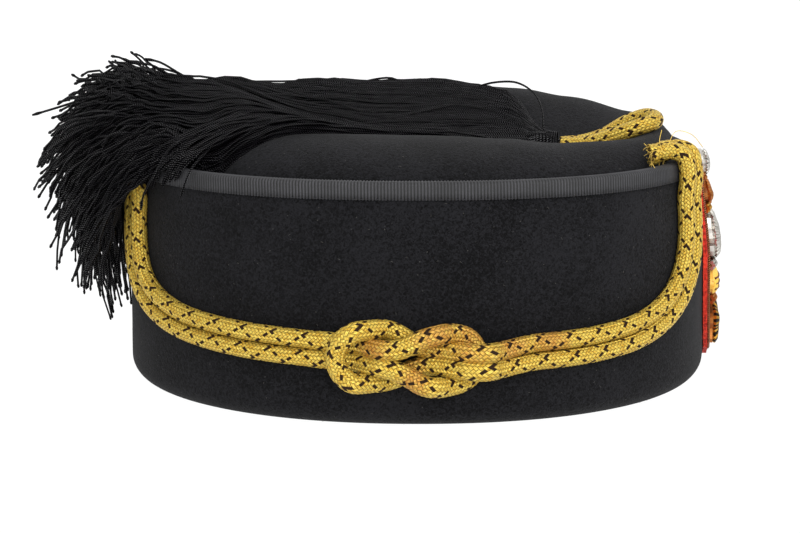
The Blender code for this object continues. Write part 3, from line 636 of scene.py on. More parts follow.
def stitch_tree():
    """Tree that sets short stitches along lines."""
    tree, given, output = new_tree("stitch", (("Pitch", "Float"), ("Length", "Float"),
                                              ("Width", "Float"), ("Material", "Material")))
    line = add_node(tree, "GeometryNodeMeshToCurve", {"Mesh": given["Geometry"]})
    spots = add_node(tree, "GeometryNodeCurveToPoints",
                     {"Curve": line, "Length": given["Pitch"]}, mode="LENGTH")
    bead = add_node(tree, "GeometryNodeMeshUVSphere", {"Segments": 6, "Rings": 5, "Radius": 0.5})
    size = add_node(tree, "ShaderNodeCombineXYZ",
                    {"X": given["Width"], "Y": given["Width"], "Z": given["Length"]})
    sewn = add_node(tree, "GeometryNodeInstanceOnPoints",
                    {"Points": spots.outputs["Points"], "Instance": bead.outputs["Mesh"],
                     "Rotation": spots.outputs["Rotation"], "Scale": size})
    end_tree(tree, sewn, output, given["Material"])
    return tree


def lint_tree():
    """Tree that scatters short stray fibres over a surface."""
    tree, given, output = new_tree("lint", (("Density", "Float"), ("Length", "Float"),
                                            ("Width", "Float"), ("Seed", "Int"),
                                            ("Material", "Material")))
    spots = add_node(tree, "GeometryNodeDistributePointsOnFaces",
                     {"Mesh": given["Geometry"], "Density": given["Density"],
                      "Seed": given["Seed"]})
    spin = add_node(tree, "FunctionNodeRandomValue", {2: 0.0, 3: math.tau, "Seed": given["Seed"]},
                    data_type="FLOAT")
    turned = add_node(tree, "ShaderNodeCombineXYZ", {"Z": spin.outputs[1]})
    turn = add_node(tree, "FunctionNodeEulerToRotation", {0: turned})
    laid = add_node(tree, "FunctionNodeRotateRotation",
                    {0: spots.outputs["Rotation"], 1: turn}, rotation_space="LOCAL")
    fibre = add_node(tree, "GeometryNodeCurveQuadraticBezier",
                     {"Resolution": 4, "Start": (-0.5, 0.0, 0.05), "Middle": (0.0, 0.3, 0.4),
                      "End": (0.5, 0.0, 0.1)})
    slim = add_node(tree, "ShaderNodeMath", {0: given["Width"], 1: given["Length"]},
                    operation="DIVIDE")
    ring = add_node(tree, "GeometryNodeCurvePrimitiveCircle", {"Resolution": 3, "Radius": slim})
    hair = add_node(tree, "GeometryNodeCurveToMesh",
                    {"Curve": fibre, "Profile Curve": ring,
                     "Fill Caps": True})
    size = add_node(tree, "FunctionNodeRandomValue", {2: 0.4, 3: 1.0, "Seed": given["Seed"]},
                    data_type="FLOAT")
    scale = add_node(tree, "ShaderNodeMath", {0: size.outputs[1], 1: given["Length"]},
                     operation="MULTIPLY")
    strewn = add_node(tree, "GeometryNodeInstanceOnPoints",
                      {"Points": spots.outputs["Points"], "Instance": hair,
                       "Rotation": laid, "Scale": scale})
    end_tree(tree, strewn, output, given["Material"])
    return tree


def raised(tree, geometry, height, depth, shown):
    """Nodes that lift a surface along its normals, by a share of a depth, where it is shown."""
    rise = add_node(tree, "ShaderNodeMath", {0: height, 1: depth}, operation="MULTIPLY")
    share = add_node(tree, "ShaderNodeMath", {0: rise, 1: shown}, operation="MULTIPLY")
    normal = add_node(tree, "GeometryNodeInputNormal")
    offset = add_node(tree, "ShaderNodeVectorMath", {0: normal, "Scale": share},
                      operation="SCALE")
    return add_node(tree, "GeometryNodeSetPosition", {"Geometry": geometry, "Offset": offset})


def rib_tree():
    """Tree that raises the ribs of a ribbon by the count that its points carry."""
    tree, given, output = new_tree("ribs", (("Depth", "Float"), ("Material", "Material")))
    count = add_node(tree, "GeometryNodeInputNamedAttribute", {"Name": "rib"}, data_type="FLOAT")
    shown = add_node(tree, "GeometryNodeInputNamedAttribute", {"Name": "shown"}, data_type="FLOAT")
    angle = add_node(tree, "ShaderNodeMath", {0: count, 1: math.tau}, operation="MULTIPLY")
    wave = add_node(tree, "ShaderNodeMath", {0: angle}, operation="COSINE")
    moved = raised(tree, given["Geometry"], wave, given["Depth"], shown)
    end_tree(tree, moved, output, given["Material"])
    return tree


def braid_cells(tree, turn, run, carriers, lay):
    """Nodes of a braid's cells: place across and along the strand on top, and both strand counts.

    Strands cross in a lattice of cells. Each lies over two and under two, so that rows of one way
    and of the other stand side by side. turn is the share of the way round, and run the length
    along the cord.
    """
    sweep = add_node(tree, "ShaderNodeMath", {0: run, 1: lay}, operation="DIVIDE")
    counts = []
    for way in ("SUBTRACT", "ADD"):
        turned = add_node(tree, "ShaderNodeMath", {0: turn, 1: sweep}, operation=way)
        count = add_node(tree, "ShaderNodeMath", {0: turned, 1: carriers}, operation="MULTIPLY")
        counts.append(count)
    whole = [add_node(tree, "ShaderNodeMath", {0: count}, operation="FLOOR")
             for count in counts]
    part = [add_node(tree, "ShaderNodeMath", {0: count}, operation="FRACT")
            for count in counts]
    both = add_node(tree, "ShaderNodeMath", {0: whole[0], 1: whole[1]}, operation="ADD")
    four = add_node(tree, "ShaderNodeMath", {0: both, 1: 4.0}, operation="FLOORED_MODULO")
    top = add_node(tree, "ShaderNodeMath", {0: four, 1: 1.5}, operation="GREATER_THAN")
    second = add_node(tree, "ShaderNodeMath", {0: both, 1: 2.0}, operation="FLOORED_MODULO")
    across = add_node(tree, "ShaderNodeMix", {0: top, 2: part[0], 3: part[1]})
    in_cell = add_node(tree, "ShaderNodeMix", {0: top, 2: part[1], 3: part[0]})
    along = add_node(tree, "ShaderNodeMath", {0: second, 1: in_cell}, operation="ADD")
    half = add_node(tree, "ShaderNodeMath", {0: along, 1: 0.5}, operation="MULTIPLY")
    return across, half, top, whole


def swelling(tree, place, power):
    """Nodes of a swelling that is 1 at the middle of a cell and 0 at its edges."""
    centred = add_node(tree, "ShaderNodeMath", {0: place, 1: 2.0, 2: -1.0},
                       operation="MULTIPLY_ADD")
    size = add_node(tree, "ShaderNodeMath", {0: centred}, operation="ABSOLUTE")
    edge = add_node(tree, "ShaderNodeMath", {0: size, 1: power}, operation="POWER")
    return add_node(tree, "ShaderNodeMath", {0: 1.0, 1: edge},
                    operation="SUBTRACT")


def braid_tree():
    """Tree that raises the cells of a round braid."""
    tree, given, output = new_tree("braid", (("Carriers", "Float"), ("Lay", "Float"),
                                             ("Depth", "Float")))
    turn = add_node(tree, "GeometryNodeInputNamedAttribute", {"Name": "turn"}, data_type="FLOAT")
    run = add_node(tree, "GeometryNodeInputNamedAttribute", {"Name": "run"}, data_type="FLOAT")
    shown = add_node(tree, "GeometryNodeInputNamedAttribute", {"Name": "shown"}, data_type="FLOAT")
    across, along, _, _ = braid_cells(tree, turn, run, given["Carriers"],
                                      given["Lay"])
    height = add_node(tree, "ShaderNodeMath",
                      {0: swelling(tree, across, 4.0), 1: swelling(tree, along, 2.0)},
                      operation="MULTIPLY")
    centred = add_node(tree, "ShaderNodeMath", {0: height, 1: 0.5}, operation="SUBTRACT")
    end_tree(tree, raised(tree, given["Geometry"], centred, given["Depth"], shown), output)
    return tree


def felt_material(name, dark, light, speck, speck_size, sheen):
    """Wool felt, milled and shorn: matt, a fine tangle of fibres, here and there a pale one."""
    material, tree, shader = new_material(name, {
        "Roughness": 0.92, "Sheen Weight": sheen, "Sheen Roughness": 0.45,
        "Specular IOR Level": 0.15})
    place = add_node(tree, "ShaderNodeTexCoord").outputs["Object"]
    tangle = add_node(tree, "ShaderNodeTexNoise",
                      {"Vector": place, "Scale": 1 / (0.95 * MM), "Detail": 2.5, "Roughness": 0.8,
                       "Distortion": 1.0})
    cloud = add_node(tree, "ShaderNodeTexNoise",
                     {"Vector": place, "Scale": 1 / (26 * MM), "Detail": 3.0})
    mixed = add_node(tree, "ShaderNodeMath",
                     {0: cloud, 1: 0.3, 2: tangle}, operation="MULTIPLY_ADD")
    shade = add_node(tree, "ShaderNodeMapRange",
                     {"Value": mixed, "From Min": 0.56, "From Max": 0.74})
    base = add_node(tree, "ShaderNodeMix",
                    {0: shade, 6: (*dark, 1.0), 7: (*light, 1.0)}, data_type="RGBA")
    grains = add_node(tree, "ShaderNodeTexVoronoi", {"Vector": place, "Scale": 1 / (3.4 * MM)})
    chosen = add_node(tree, "ShaderNodeMath",
                      {0: grains.outputs["Distance"], 1: speck_size}, operation="LESS_THAN")
    flecked = add_node(tree, "ShaderNodeMix",
                       {0: chosen, 6: base.outputs[2], 7: (*speck, 1.0)},
                       data_type="RGBA")
    bump = add_node(tree, "ShaderNodeBump",
                    {"Height": tangle, "Strength": 0.8, "Distance": 0.5 * MM})
    set_inputs(tree, shader, {"Base Color": flecked.outputs[2], "Normal": bump})
    return material


def ribbon_material(settings):
    """Rayon grosgrain, woven over cords: a painted grey gleam on each rib, painted shade in the
    grooves between the ribs, fine warp across it.
    """
    material, tree, shader = new_material("black_rayon_grosgrain", {
        "Roughness": 0.62, "Specular IOR Level": 0.45})
    place = add_node(tree, "ShaderNodeTexCoord").outputs["Object"]
    weave = add_node(tree, "ShaderNodeTexNoise",
                     {"Vector": place, "Scale": 1 / (0.35 * MM), "Detail": 2.0})
    worn = add_node(tree, "ShaderNodeTexNoise", {"Vector": place, "Scale": 1 / (9 * MM)})
    both = add_node(tree, "ShaderNodeMath", {0: weave, 1: worn}, operation="ADD")
    shade = add_node(tree, "ShaderNodeMapRange", {"Value": both, "From Min": 0.6, "From Max": 1.4})
    lit = add_node(tree, "ShaderNodeMix",
                   {0: shade, 6: (*linear("#1d1d1f"), 1.0), 7: (*settings.colour, 1.0)},
                   data_type="RGBA")
    # Painted gleam on the rib crowns and painted shade, near black, in the grooves between ribs
    count = add_node(tree, "ShaderNodeAttribute", attribute_name="rib")
    angle = add_node(tree, "ShaderNodeMath", {0: count.outputs["Fac"], 1: math.tau},
                     operation="MULTIPLY")
    wave = add_node(tree, "ShaderNodeMath", {0: angle}, operation="COSINE")
    crown = add_node(tree, "ShaderNodeMapRange",
                     {"Value": wave, "From Min": -0.75, "From Max": 0.4})
    base = add_node(tree, "ShaderNodeMix",
                    {0: crown, 6: (*linear("#040404"), 1.0), 7: lit.outputs[2]},
                    data_type="RGBA")
    bump = add_node(tree, "ShaderNodeBump",
                    {"Height": weave, "Strength": 0.5, "Distance": 0.15 * MM})
    set_inputs(tree, shader, {"Base Color": base.outputs[2], "Normal": bump})
    return material


def braid_material(settings):
    """Gilt lame thread braided over a core, with brown strands each way: bright yellow gold with
    painted glints, herringbone of fine threads with painted shade in its grooves, dark flecks in
    crossing lines, copper where the gilt is worn."""
    material, tree, shader = new_material("gilt_lame_braid", {
        "Metallic": 0.6, "Specular IOR Level": 0.5})
    uv = add_node(tree, "ShaderNodeUVMap", uv_map="braid")
    split = add_node(tree, "ShaderNodeSeparateXYZ", {0: uv})
    across, along, top, whole = braid_cells(tree, split.outputs[0], split.outputs[1],
                                            float(CARRIERS), 1.0)
    pillow = add_node(tree, "ShaderNodeMath",
                      {0: swelling(tree, across, 5.0), 1: swelling(tree, along, 2.5)},
                      operation="MULTIPLY")
    phase = add_node(tree, "ShaderNodeMath", {0: across, 1: THREADS * math.pi},
                     operation="MULTIPLY")
    sine = add_node(tree, "ShaderNodeMath", {0: phase}, operation="SINE")
    thread = add_node(tree, "ShaderNodeMath", {0: sine}, operation="ABSOLUTE")
    relief = add_node(tree, "ShaderNodeMath",
                      {0: thread, 1: 0.7, 2: pillow},
                      operation="MULTIPLY_ADD")
    cell = add_node(tree, "ShaderNodeCombineXYZ", {"X": whole[0], "Y": whole[1]})
    chance = add_node(tree, "ShaderNodeTexWhiteNoise", {"Vector": cell})
    place = add_node(tree, "ShaderNodeTexCoord").outputs["Object"]
    # Painted glints: a fine noise and a random tone per cell set the gilt from deep to lit
    glint = add_node(tree, "ShaderNodeTexNoise",
                     {"Vector": place, "Scale": 1 / (0.5 * MM), "Detail": 3.0, "Roughness": 0.7})
    lit = add_node(tree, "ShaderNodeMath", {0: chance, 1: 0.16, 2: glint}, operation="MULTIPLY_ADD")
    tone = add_node(tree, "ShaderNodeMapRange", {"Value": lit, "From Min": 0.38, "From Max": 0.72})
    gold = add_node(tree, "ShaderNodeMix",
                    {0: tone, 6: (*settings.shade, 1.0), 7: (*settings.gold, 1.0)},
                    data_type="RGBA")
    wear = add_node(tree, "ShaderNodeAttribute", attribute_name="worn")
    patches = add_node(tree, "ShaderNodeTexNoise",
                       {"Vector": place, "Scale": 1 / (1.5 * MM), "Detail": 4.0, "Roughness": 0.7})
    worn = add_node(tree, "ShaderNodeMath",
                    {0: wear.outputs["Fac"], 1: patches}, operation="MULTIPLY")
    amount = add_node(tree, "ShaderNodeMapRange",
                      {"Value": worn, "From Min": 0.2, "From Max": 0.5, "To Max": 0.55})
    copper = add_node(tree, "ShaderNodeMix",
                      {0: amount, 6: gold.outputs[2], 7: (*settings.copper, 1.0)},
                      data_type="RGBA")
    # Painted shade: the grooves between cells and threads darken towards dark brown
    depth = add_node(tree, "ShaderNodeMapRange",
                     {"Value": relief, "From Min": 0.2, "From Max": 1.7,
                      "To Min": 0.16, "To Max": 1.0})
    groove_shaded = add_node(tree, "ShaderNodeMix",
                       {0: depth, 6: (*linear("#3a2200"), 1.0), 7: copper.outputs[2]},
                       data_type="RGBA")
    # A dark strand shows wherever it lies on top
    numbers = [add_node(tree, "ShaderNodeMath", {0: count, 1: DARK_STEP},
                        operation="FLOORED_MODULO") for count in whole]
    dark = [add_node(tree, "ShaderNodeMath", {0: number, 1: 0.5}, operation="LESS_THAN")
            for number in numbers]
    fleck = add_node(tree, "ShaderNodeMix", {0: top, 2: dark[0], 3: dark[1]})
    flecked = add_node(tree, "ShaderNodeMix",
                       {0: fleck, 6: groove_shaded.outputs[2], 7: (*settings.fleck, 1.0)},
                       data_type="RGBA")
    dull = add_node(tree, "ShaderNodeMapRange", {"Value": fleck, "To Min": 0.38, "To Max": 0.75})
    bump = add_node(tree, "ShaderNodeBump",
                    {"Height": relief, "Strength": 0.8, "Distance": 0.22 * MM})
    set_inputs(tree, shader, {"Base Color": flecked.outputs[2], "Roughness": dull, "Normal": bump})
    return material


def cut_end_hole_material():
    """Lining of the hole at a cut end of the cord: brown, from dark to tan, and ragged."""
    material, tree, shader = new_material("brown_jute_core", {"Roughness": 0.95})
    place = add_node(tree, "ShaderNodeTexCoord").outputs["Object"]
    ragged = add_node(tree, "ShaderNodeTexNoise",
                      {"Vector": place, "Scale": 1 / (0.5 * MM), "Detail": 4.0})
    base = add_node(tree, "ShaderNodeMix",
                    {0: ragged, 6: (*linear("#2a1a0c"), 1.0),
                     7: (*linear("#96713a"), 1.0)}, data_type="RGBA")
    bump = add_node(tree, "ShaderNodeBump",
                    {"Height": ragged, "Strength": 0.9, "Distance": 0.3 * MM})
    set_inputs(tree, shader, {"Base Color": base.outputs[2], "Normal": bump})
    return material


def twist_material(name, dark, light, lay, finish):
    """Two-ply twisted thread: a painted highlight on each bead where a ply turns outward, painted
    shade between them.
    """
    material, tree, shader = new_material(name, finish)
    around = add_node(tree, "ShaderNodeAttribute", attribute_name="around")
    along = add_node(tree, "ShaderNodeAttribute", attribute_name="along")
    angle = add_node(tree, "ShaderNodeMath",
                     {0: along.outputs["Fac"], 1: math.tau / lay}, operation="MULTIPLY")
    sine = add_node(tree, "ShaderNodeMath", {0: angle}, operation="SINE")
    cosine = add_node(tree, "ShaderNodeMath", {0: angle}, operation="COSINE")
    ply = add_node(tree, "ShaderNodeCombineXYZ", {"X": cosine, "Y": sine})
    facing = add_node(tree, "ShaderNodeVectorMath",
                      {0: around.outputs["Vector"], 1: ply}, operation="DOT_PRODUCT")
    crown = add_node(tree, "ShaderNodeMath", {0: facing.outputs["Value"]}, operation="ABSOLUTE")
    # Painted highlight on the ply crowns, painted shade in the grooves between the plies
    shade = add_node(tree, "ShaderNodeMapRange",
                     {"Value": crown, "From Min": 0.66, "From Max": 0.96})
    base = add_node(tree, "ShaderNodeMix",
                    {0: shade, 6: (*linear(dark), 1.0), 7: (*linear(light), 1.0)},
                    data_type="RGBA")
    gloss = add_node(tree, "ShaderNodeMapRange", {"Value": shade, "To Max": 1.0})
    bump = add_node(tree, "ShaderNodeBump",
                    {"Height": crown, "Strength": 0.9, "Distance": 0.3 * MM})
    set_inputs(tree, shader, {"Base Color": base.outputs[2], "Specular IOR Level": gloss,
                              "Normal": bump})
    return material


def wire_material(name, bright, dull, roughness):
    """Drawn plated wire, wound as purl: bright metal, a little tarnished between the turns."""
    material, tree, shader = new_material(name, {"Metallic": 0.85, "Roughness": roughness})
    place = add_node(tree, "ShaderNodeTexCoord").outputs["Object"]
    tarnish = add_node(tree, "ShaderNodeTexNoise",
                       {"Vector": place, "Scale": 1 / (1.6 * MM), "Detail": 3.0})
    base = add_node(tree, "ShaderNodeMix",
                    {0: tarnish, 6: (*linear(bright), 1.0), 7: (*linear(dull), 1.0)},
                    data_type="RGBA")
    set_inputs(tree, shader, {"Base Color": base.outputs[2]})
    return material


def thread_material(name, colour):
    """Plain spun thread or fibre: one dye, matt, a little uneven."""
    material, tree, shader = new_material(name, {"Roughness": 0.85})
    place = add_node(tree, "ShaderNodeTexCoord").outputs["Object"]
    uneven = add_node(tree, "ShaderNodeTexNoise", {"Vector": place, "Scale": 1 / (2 * MM)})
    pale = linear(colour)
    deep = tuple(0.6 * share for share in pale)
    base = add_node(tree, "ShaderNodeMix",
                    {0: uneven, 6: (*deep, 1.0), 7: (*pale, 1.0)}, data_type="RGBA")
    set_inputs(tree, shader, {"Base Color": base.outputs[2]})
    return material


def satin_material():
    """Silk floss laid as satin stitch: smooth gold yellow, glossy along fine parallel threads."""
    material, tree, shader = new_material("yellow_silk_floss", {
        "Roughness": 0.34, "Sheen Weight": 0.3, "Specular IOR Level": 0.6})
    place = add_node(tree, "ShaderNodeTexCoord").outputs["Object"]
    drawn = add_node(tree, "ShaderNodeMapping", {"Vector": place, "Scale": (1.0, 1.0, 0.08)})
    floss = add_node(tree, "ShaderNodeTexNoise",
                     {"Vector": drawn, "Scale": 1 / (0.3 * MM), "Detail": 2.0})
    base = add_node(tree, "ShaderNodeMix",
                    {0: floss, 6: (*linear("#d09c1c"), 1.0),
                     7: (*linear("#f8d24e"), 1.0)}, data_type="RGBA")
    bump = add_node(tree, "ShaderNodeBump",
                    {"Height": floss, "Strength": 0.4, "Distance": 0.1 * MM})
    set_inputs(tree, shader, {"Base Color": base.outputs[2], "Normal": bump})
    return material


def table_material(settings):
    """White acrylic table lit from below: no shadow stays on it."""
    material, tree, shader = new_material("white_lit_acrylic", {
        "Roughness": 0.8, "Emission Color": (1.0, 1.0, 1.0, 1.0),
        "Emission Strength": settings.glow})
    place = add_node(tree, "ShaderNodeTexCoord").outputs["Object"]
    grain = add_node(tree, "ShaderNodeTexNoise", {"Vector": place, "Scale": 1 / (40 * MM)})
    base = add_node(tree, "ShaderNodeMix",
                    {0: grain, 6: (*settings.floor, 1.0), 7: (*linear("#141414"), 1.0)},
                    data_type="RGBA")
    set_inputs(tree, shader, {"Base Color": base.outputs[2]})
    return material


def wall_point(turn, height, share):
    """Point of the crown's wall, which leans forward by the share of the shift."""
    point = cuff_point(turn, height, -(FOLD_RADIUS + INNER_FOLD_RADIUS))
    point.x += WALL_SHIFT * share
    return point


def between(first, second, steps):
    """Rings in even steps after the first ring, up to and with the second."""
    return [[a.lerp(b, step / steps) for a, b in zip(first, second)]
            for step in range(1, steps + 1)]


def felt_rings():
    """Rings of the felt's middle layer, from the cuff's edge round the fold to the valley."""
    turns = [2 * math.pi * k / COLUMNS - math.pi for k in range(COLUMNS)]
    edge = RIM_HEIGHT - RIBBON_THICKNESS - CLEARANCE
    half = FELT / 2
    rings = [[cuff_point(turn, height, -half) for turn in turns]
             for height in np.linspace(edge, FOLD_RADIUS, 10)]
    reach = FOLD_RADIUS - half
    for angle in np.radians(np.linspace(0, 90, 8)[1:]):
        inset = FOLD_RADIUS - reach * math.cos(angle)
        height = FOLD_RADIUS - reach * math.sin(angle)
        rings.append([cuff_point(turn, height, -inset) for turn in turns])
    for angle in np.radians(np.linspace(0, 90, 5)[1:]):
        inset = FOLD_RADIUS + INNER_FOLD_RADIUS * math.sin(angle)
        height = half + INNER_FOLD_RADIUS * (1 - math.cos(angle))
        rings.append([cuff_point(turn, height, -inset) for turn in turns])
    rings += between(rings[-1], [wall_point(turn, WALL_MIDDLE, 0.5) for turn in turns], 4)
    tops = []
    crests = []
    valleys = []
    for turn in turns:
        degrees = math.degrees(turn)
        tops.append(wall_point(turn, read_table(CROWN_ROWS, degrees, 1) * MM, 1.0))
        crest = oval(turn, CREST_HALF_LENGTH, CREST_HALF_WIDTH, CREST_SQUARENESS) + CREST_CENTRE
        crest.z = read_table(CROWN_ROWS, degrees, 2) * MM
        crests.append(crest)
        valleys.append(VALLEY_CENTRE + Vector((VALLEY_HALF_LENGTH * math.cos(turn), 0.0, 0.0)))
    rings += between(rings[-1], tops, 4)
    for share in np.linspace(0, 1, 9)[1:]:
        angle = share * math.pi / 2
        ring = []
        for top, crest in zip(tops, crests):
            point = top.lerp(crest, 1 - math.cos(angle))
            point.z = top.z + (crest.z - top.z) * math.sin(angle)
            ring.append(point)
        rings.append(ring)
    for share in np.linspace(0, 1, 9)[1:]:
        ring = []
        for crest, valley in zip(crests, valleys):
            point = crest.lerp(valley, float(share))
            point.z = crest.z + (valley.z - crest.z) * float(smooth_step(share))
            ring.append(point)
        rings.append(ring)
    return rings


def felt_cap(material):
    """Felt shell: crown, fold and cuff in one, with a real thickness and a soft unevenness."""
    rings = felt_rings()
    vertices = [point - Vector((0, 0, PRESSED_FLAT)) for ring in rings for point in ring]
    faces = []
    for k in range(len(rings) - 1):
        faces += ring_faces(k * COLUMNS, (k + 1) * COLUMNS, COLUMNS)
    mesh = mesh_from("felt_cap", vertices, faces)
    face_outward(mesh)
    piece = new_piece("felt_cap", mesh)
    wall = piece.modifiers.new("wall", "SOLIDIFY")
    wall.thickness = FELT
    wall.offset = 0.0
    wall.use_even_offset = True
    settle(piece)
    for vertex in piece.data.vertices:
        vertex.co.z = max(vertex.co.z, 0.0)
    round_off = piece.modifiers.new("round", "SUBSURF")
    round_off.levels = 1
    round_off.render_levels = 1
    settle(piece)
    shape = piece.data
    places = read_points(shape)
    normals = np.array([tuple(normal.vector) for normal in shape.vertex_normals])
    shifts = np.array([sum(depth * noise.noise(Vector(place) / width) for width, depth in SWELLINGS)
                       for place in places])
    free = smooth_step((places[:, 2] - 1 * MM) / (8 * MM))
    places += normals * (shifts * free)[:, None]
    places[:, 2] = np.maximum(places[:, 2], 0.0)
    shape.vertices.foreach_set("co", places.ravel())
    shape.update()
    shape.materials.clear()
    shape.materials.append(material)
    shape.shade_smooth()
    return piece


def ribbon_section():
    """Ribbon's closed section: outset, height, and whether the ribs show at each point."""
    low = RIM_HEIGHT - RIBBON_WIDTH
    under = RIM_HEIGHT - RIBBON_THICKNESS
    near = CLEARANCE
    far = CLEARANCE + RIBBON_THICKNESS
    turn_from = RIM_HEIGHT - RIBBON_ROUND
    outer = [(far, height, 1.0) for height in np.linspace(low, turn_from, 3)]
    for angle in np.radians((30.0, 60.0, 90.0)):
        outer.append((far - RIBBON_ROUND * (1 - math.cos(angle)),
                      turn_from + RIBBON_ROUND * math.sin(angle), 1.0))
    inner = [(-FELT - outset, height, shown) for outset, height, shown in outer[::-1]]
    lining = [(-FELT - near, low, 0.0), (-FELT - near, under, 0.0), (near, under, 0.0),
              (near, low, 0.0)]
    return outer + inner + lining


def edge_ribbon(tree, settings, material):
    """Grosgrain ribbon over the cuff's edge, every rib raised."""
    ribs = round(ribbon_girth() / settings.rib_pitch)
    columns = ribs * RIB_COLUMNS
    turns = [2 * math.pi * k / columns - math.pi for k in range(columns)]
    vertices = []
    shown = []
    for outset, height, share in ribbon_section():
        vertices += [cuff_point(turn, height, outset) - Vector((0, 0, PRESSED_FLAT))
                     for turn in turns]
        shown += [share] * columns
    rows = len(vertices) // columns
    faces = []
    for k in range(rows):
        faces += ring_faces(k * columns, (k + 1) % rows * columns, columns)
    mesh = mesh_from("edge_ribbon", vertices, faces)
    face_outward(mesh)
    point_values(mesh, "rib", [k % columns / RIB_COLUMNS for k in range(len(vertices))])
    point_values(mesh, "shown", shown)
    return grow(new_piece("edge_ribbon", mesh), tree, Depth=settings.rib_depth, Material=material)


def ribbon_girth():
    """Length of the ribbon round the cuff."""
    points = [cuff_point(2 * math.pi * k / 360, RIM_HEIGHT, 0.0) for k in range(361)]
    return sum((b - a).length for a, b in zip(points, points[1:]))


def offset_line(line, side):
    """Parallel of a line on the unrolled cuff, to its left for a positive side."""
    moved = []
    for k, (along, height) in enumerate(line):
        before = line[max(k - 1, 0)]
        after = line[min(k + 1, len(line) - 1)]
        run = Vector((after[0] - before[0], after[1] - before[1])).normalized()
        moved.append((along - run.y * side / MM, height + run.x * side / MM))
    return moved


def turned_end(place, turn_rows, drift=1.0):
    """Points that take a leg of the cord over the cuff's edge, with a share of its drift."""
    return [((place + step * drift) * MM, height * MM, standoff * MM)
            for step, height, standoff in turn_rows]


def knot_leg(bight, towards, upper, lift_column, bight_lift):
    """One leg of a bight in the knot and half of its closed end, on the unrolled cuff."""
    level = bight[0] * MM
    tilt = math.radians(bight[1])
    radius = bight[2] * MM
    rows = [(row[0] * MM, row[1] * MM, row[lift_column]) for row in KNOT_LEG]
    for degrees, lift in zip(BIGHT_TURNS, bight_lift):
        angle = math.radians(degrees)
        run = KNOT_REACH - radius + radius * math.cos(angle)
        rows.append((run, radius * math.sin(angle), lift))
    placed = []
    for run, aside, lift in rows:
        run *= towards
        aside *= 1 if upper else -1
        along = KNOT_ALONG + run * math.cos(tilt) - aside * math.sin(tilt)
        height = level + run * math.sin(tilt) + aside * math.cos(tilt)
        placed.append((along, height, CORD_STANDOFF + lift * KNOT_LIFT))
    return placed


def bight_route(bight, swag, turn_rows, towards, lift_column, bight_lift):
    """Whole route of one cord of the knot: in by the upper leg, round, out by the lower one."""
    legs = []
    for upper in (True, False):
        side = towards * (CORD_SPACING / 2 if upper else -CORD_SPACING / 2)
        line = offset_line(swag, side)
        edge = turned_end(line[0][0], turn_rows, 1.0 if upper else OUTER_DRIFT)[::-1]
        run = [(along * MM, height * MM, CORD_STANDOFF) for along, height in line]
        legs.append(edge + run + knot_leg(bight, towards, upper, lift_column, bight_lift))
    return [on_cuff(*place) for place in legs[0] + legs[1][-2::-1]]


def far_route(side):
    """Route of one plain cord of the left side: the right side's, mirrored and without its knot."""
    line = offset_line(BACK_SWAG + PLAIN_SWAG + FRONT_SWAG, side)
    route = turned_end(line[0][0], BACK_TURN, 1.0 if side > 0 else OUTER_DRIFT)[::-1]
    route += [(along * MM, height * MM, CORD_STANDOFF) for along, height in line]
    route += turned_end(line[-1][0], FAR_FRONT_END)
    points = [on_cuff(*place) for place in route]
    return [Vector((point.x, -point.y, point.z)) for point in points]


def squeezed(points, rim):
    """Section of the cord at each point: in the knot it is thinner from the cuff, and wider."""
    share = np.abs(points[:, 0] - KNOT_ALONG) - SQUEEZE_INSIDE
    share = smooth_step(share / (SQUEEZE_OUTSIDE - SQUEEZE_INSIDE))[:, None, None]
    away = points * (1 / HALF_LENGTH ** 2, 1 / HALF_WIDTH ** 2, 0.0)
    away = (away / np.linalg.norm(away, axis=1, keepdims=True))[:, None]
    depth = np.sum(rim * away, axis=2, keepdims=True)
    wide = FLATTEN + (1 - FLATTEN) * share
    thin = SQUEEZE + (1 - SQUEEZE) * share
    return rim * wide + away * depth * (thin - wide)


def sweep_axes(points):
    """Two directions across a line at each of its points, carried along it without a twist."""
    tangents = np.gradient(points, axis=0)
    tangents /= np.linalg.norm(tangents, axis=1, keepdims=True)
    side = np.cross(tangents[0], (0.0, 0.3, 1.0))
    sides = []
    for tangent in tangents:
        side = side - tangent * np.dot(side, tangent)
        side /= np.linalg.norm(side)
        sides.append(side)
    sides = np.array(sides)
    return tangents, sides, np.cross(tangents, sides)


def worn_share(points):
    """How much copper shows at each point."""
    share = np.zeros(len(points))
    for x, height, spread in WORN_SPOTS:
        distance = ((points[:, 0] / MM - x) ** 2 + (points[:, 2] / MM - height) ** 2) / spread ** 2
        share = np.maximum(share, np.exp(-distance))
    return share * (points[:, 1] < WORN_SIDE)


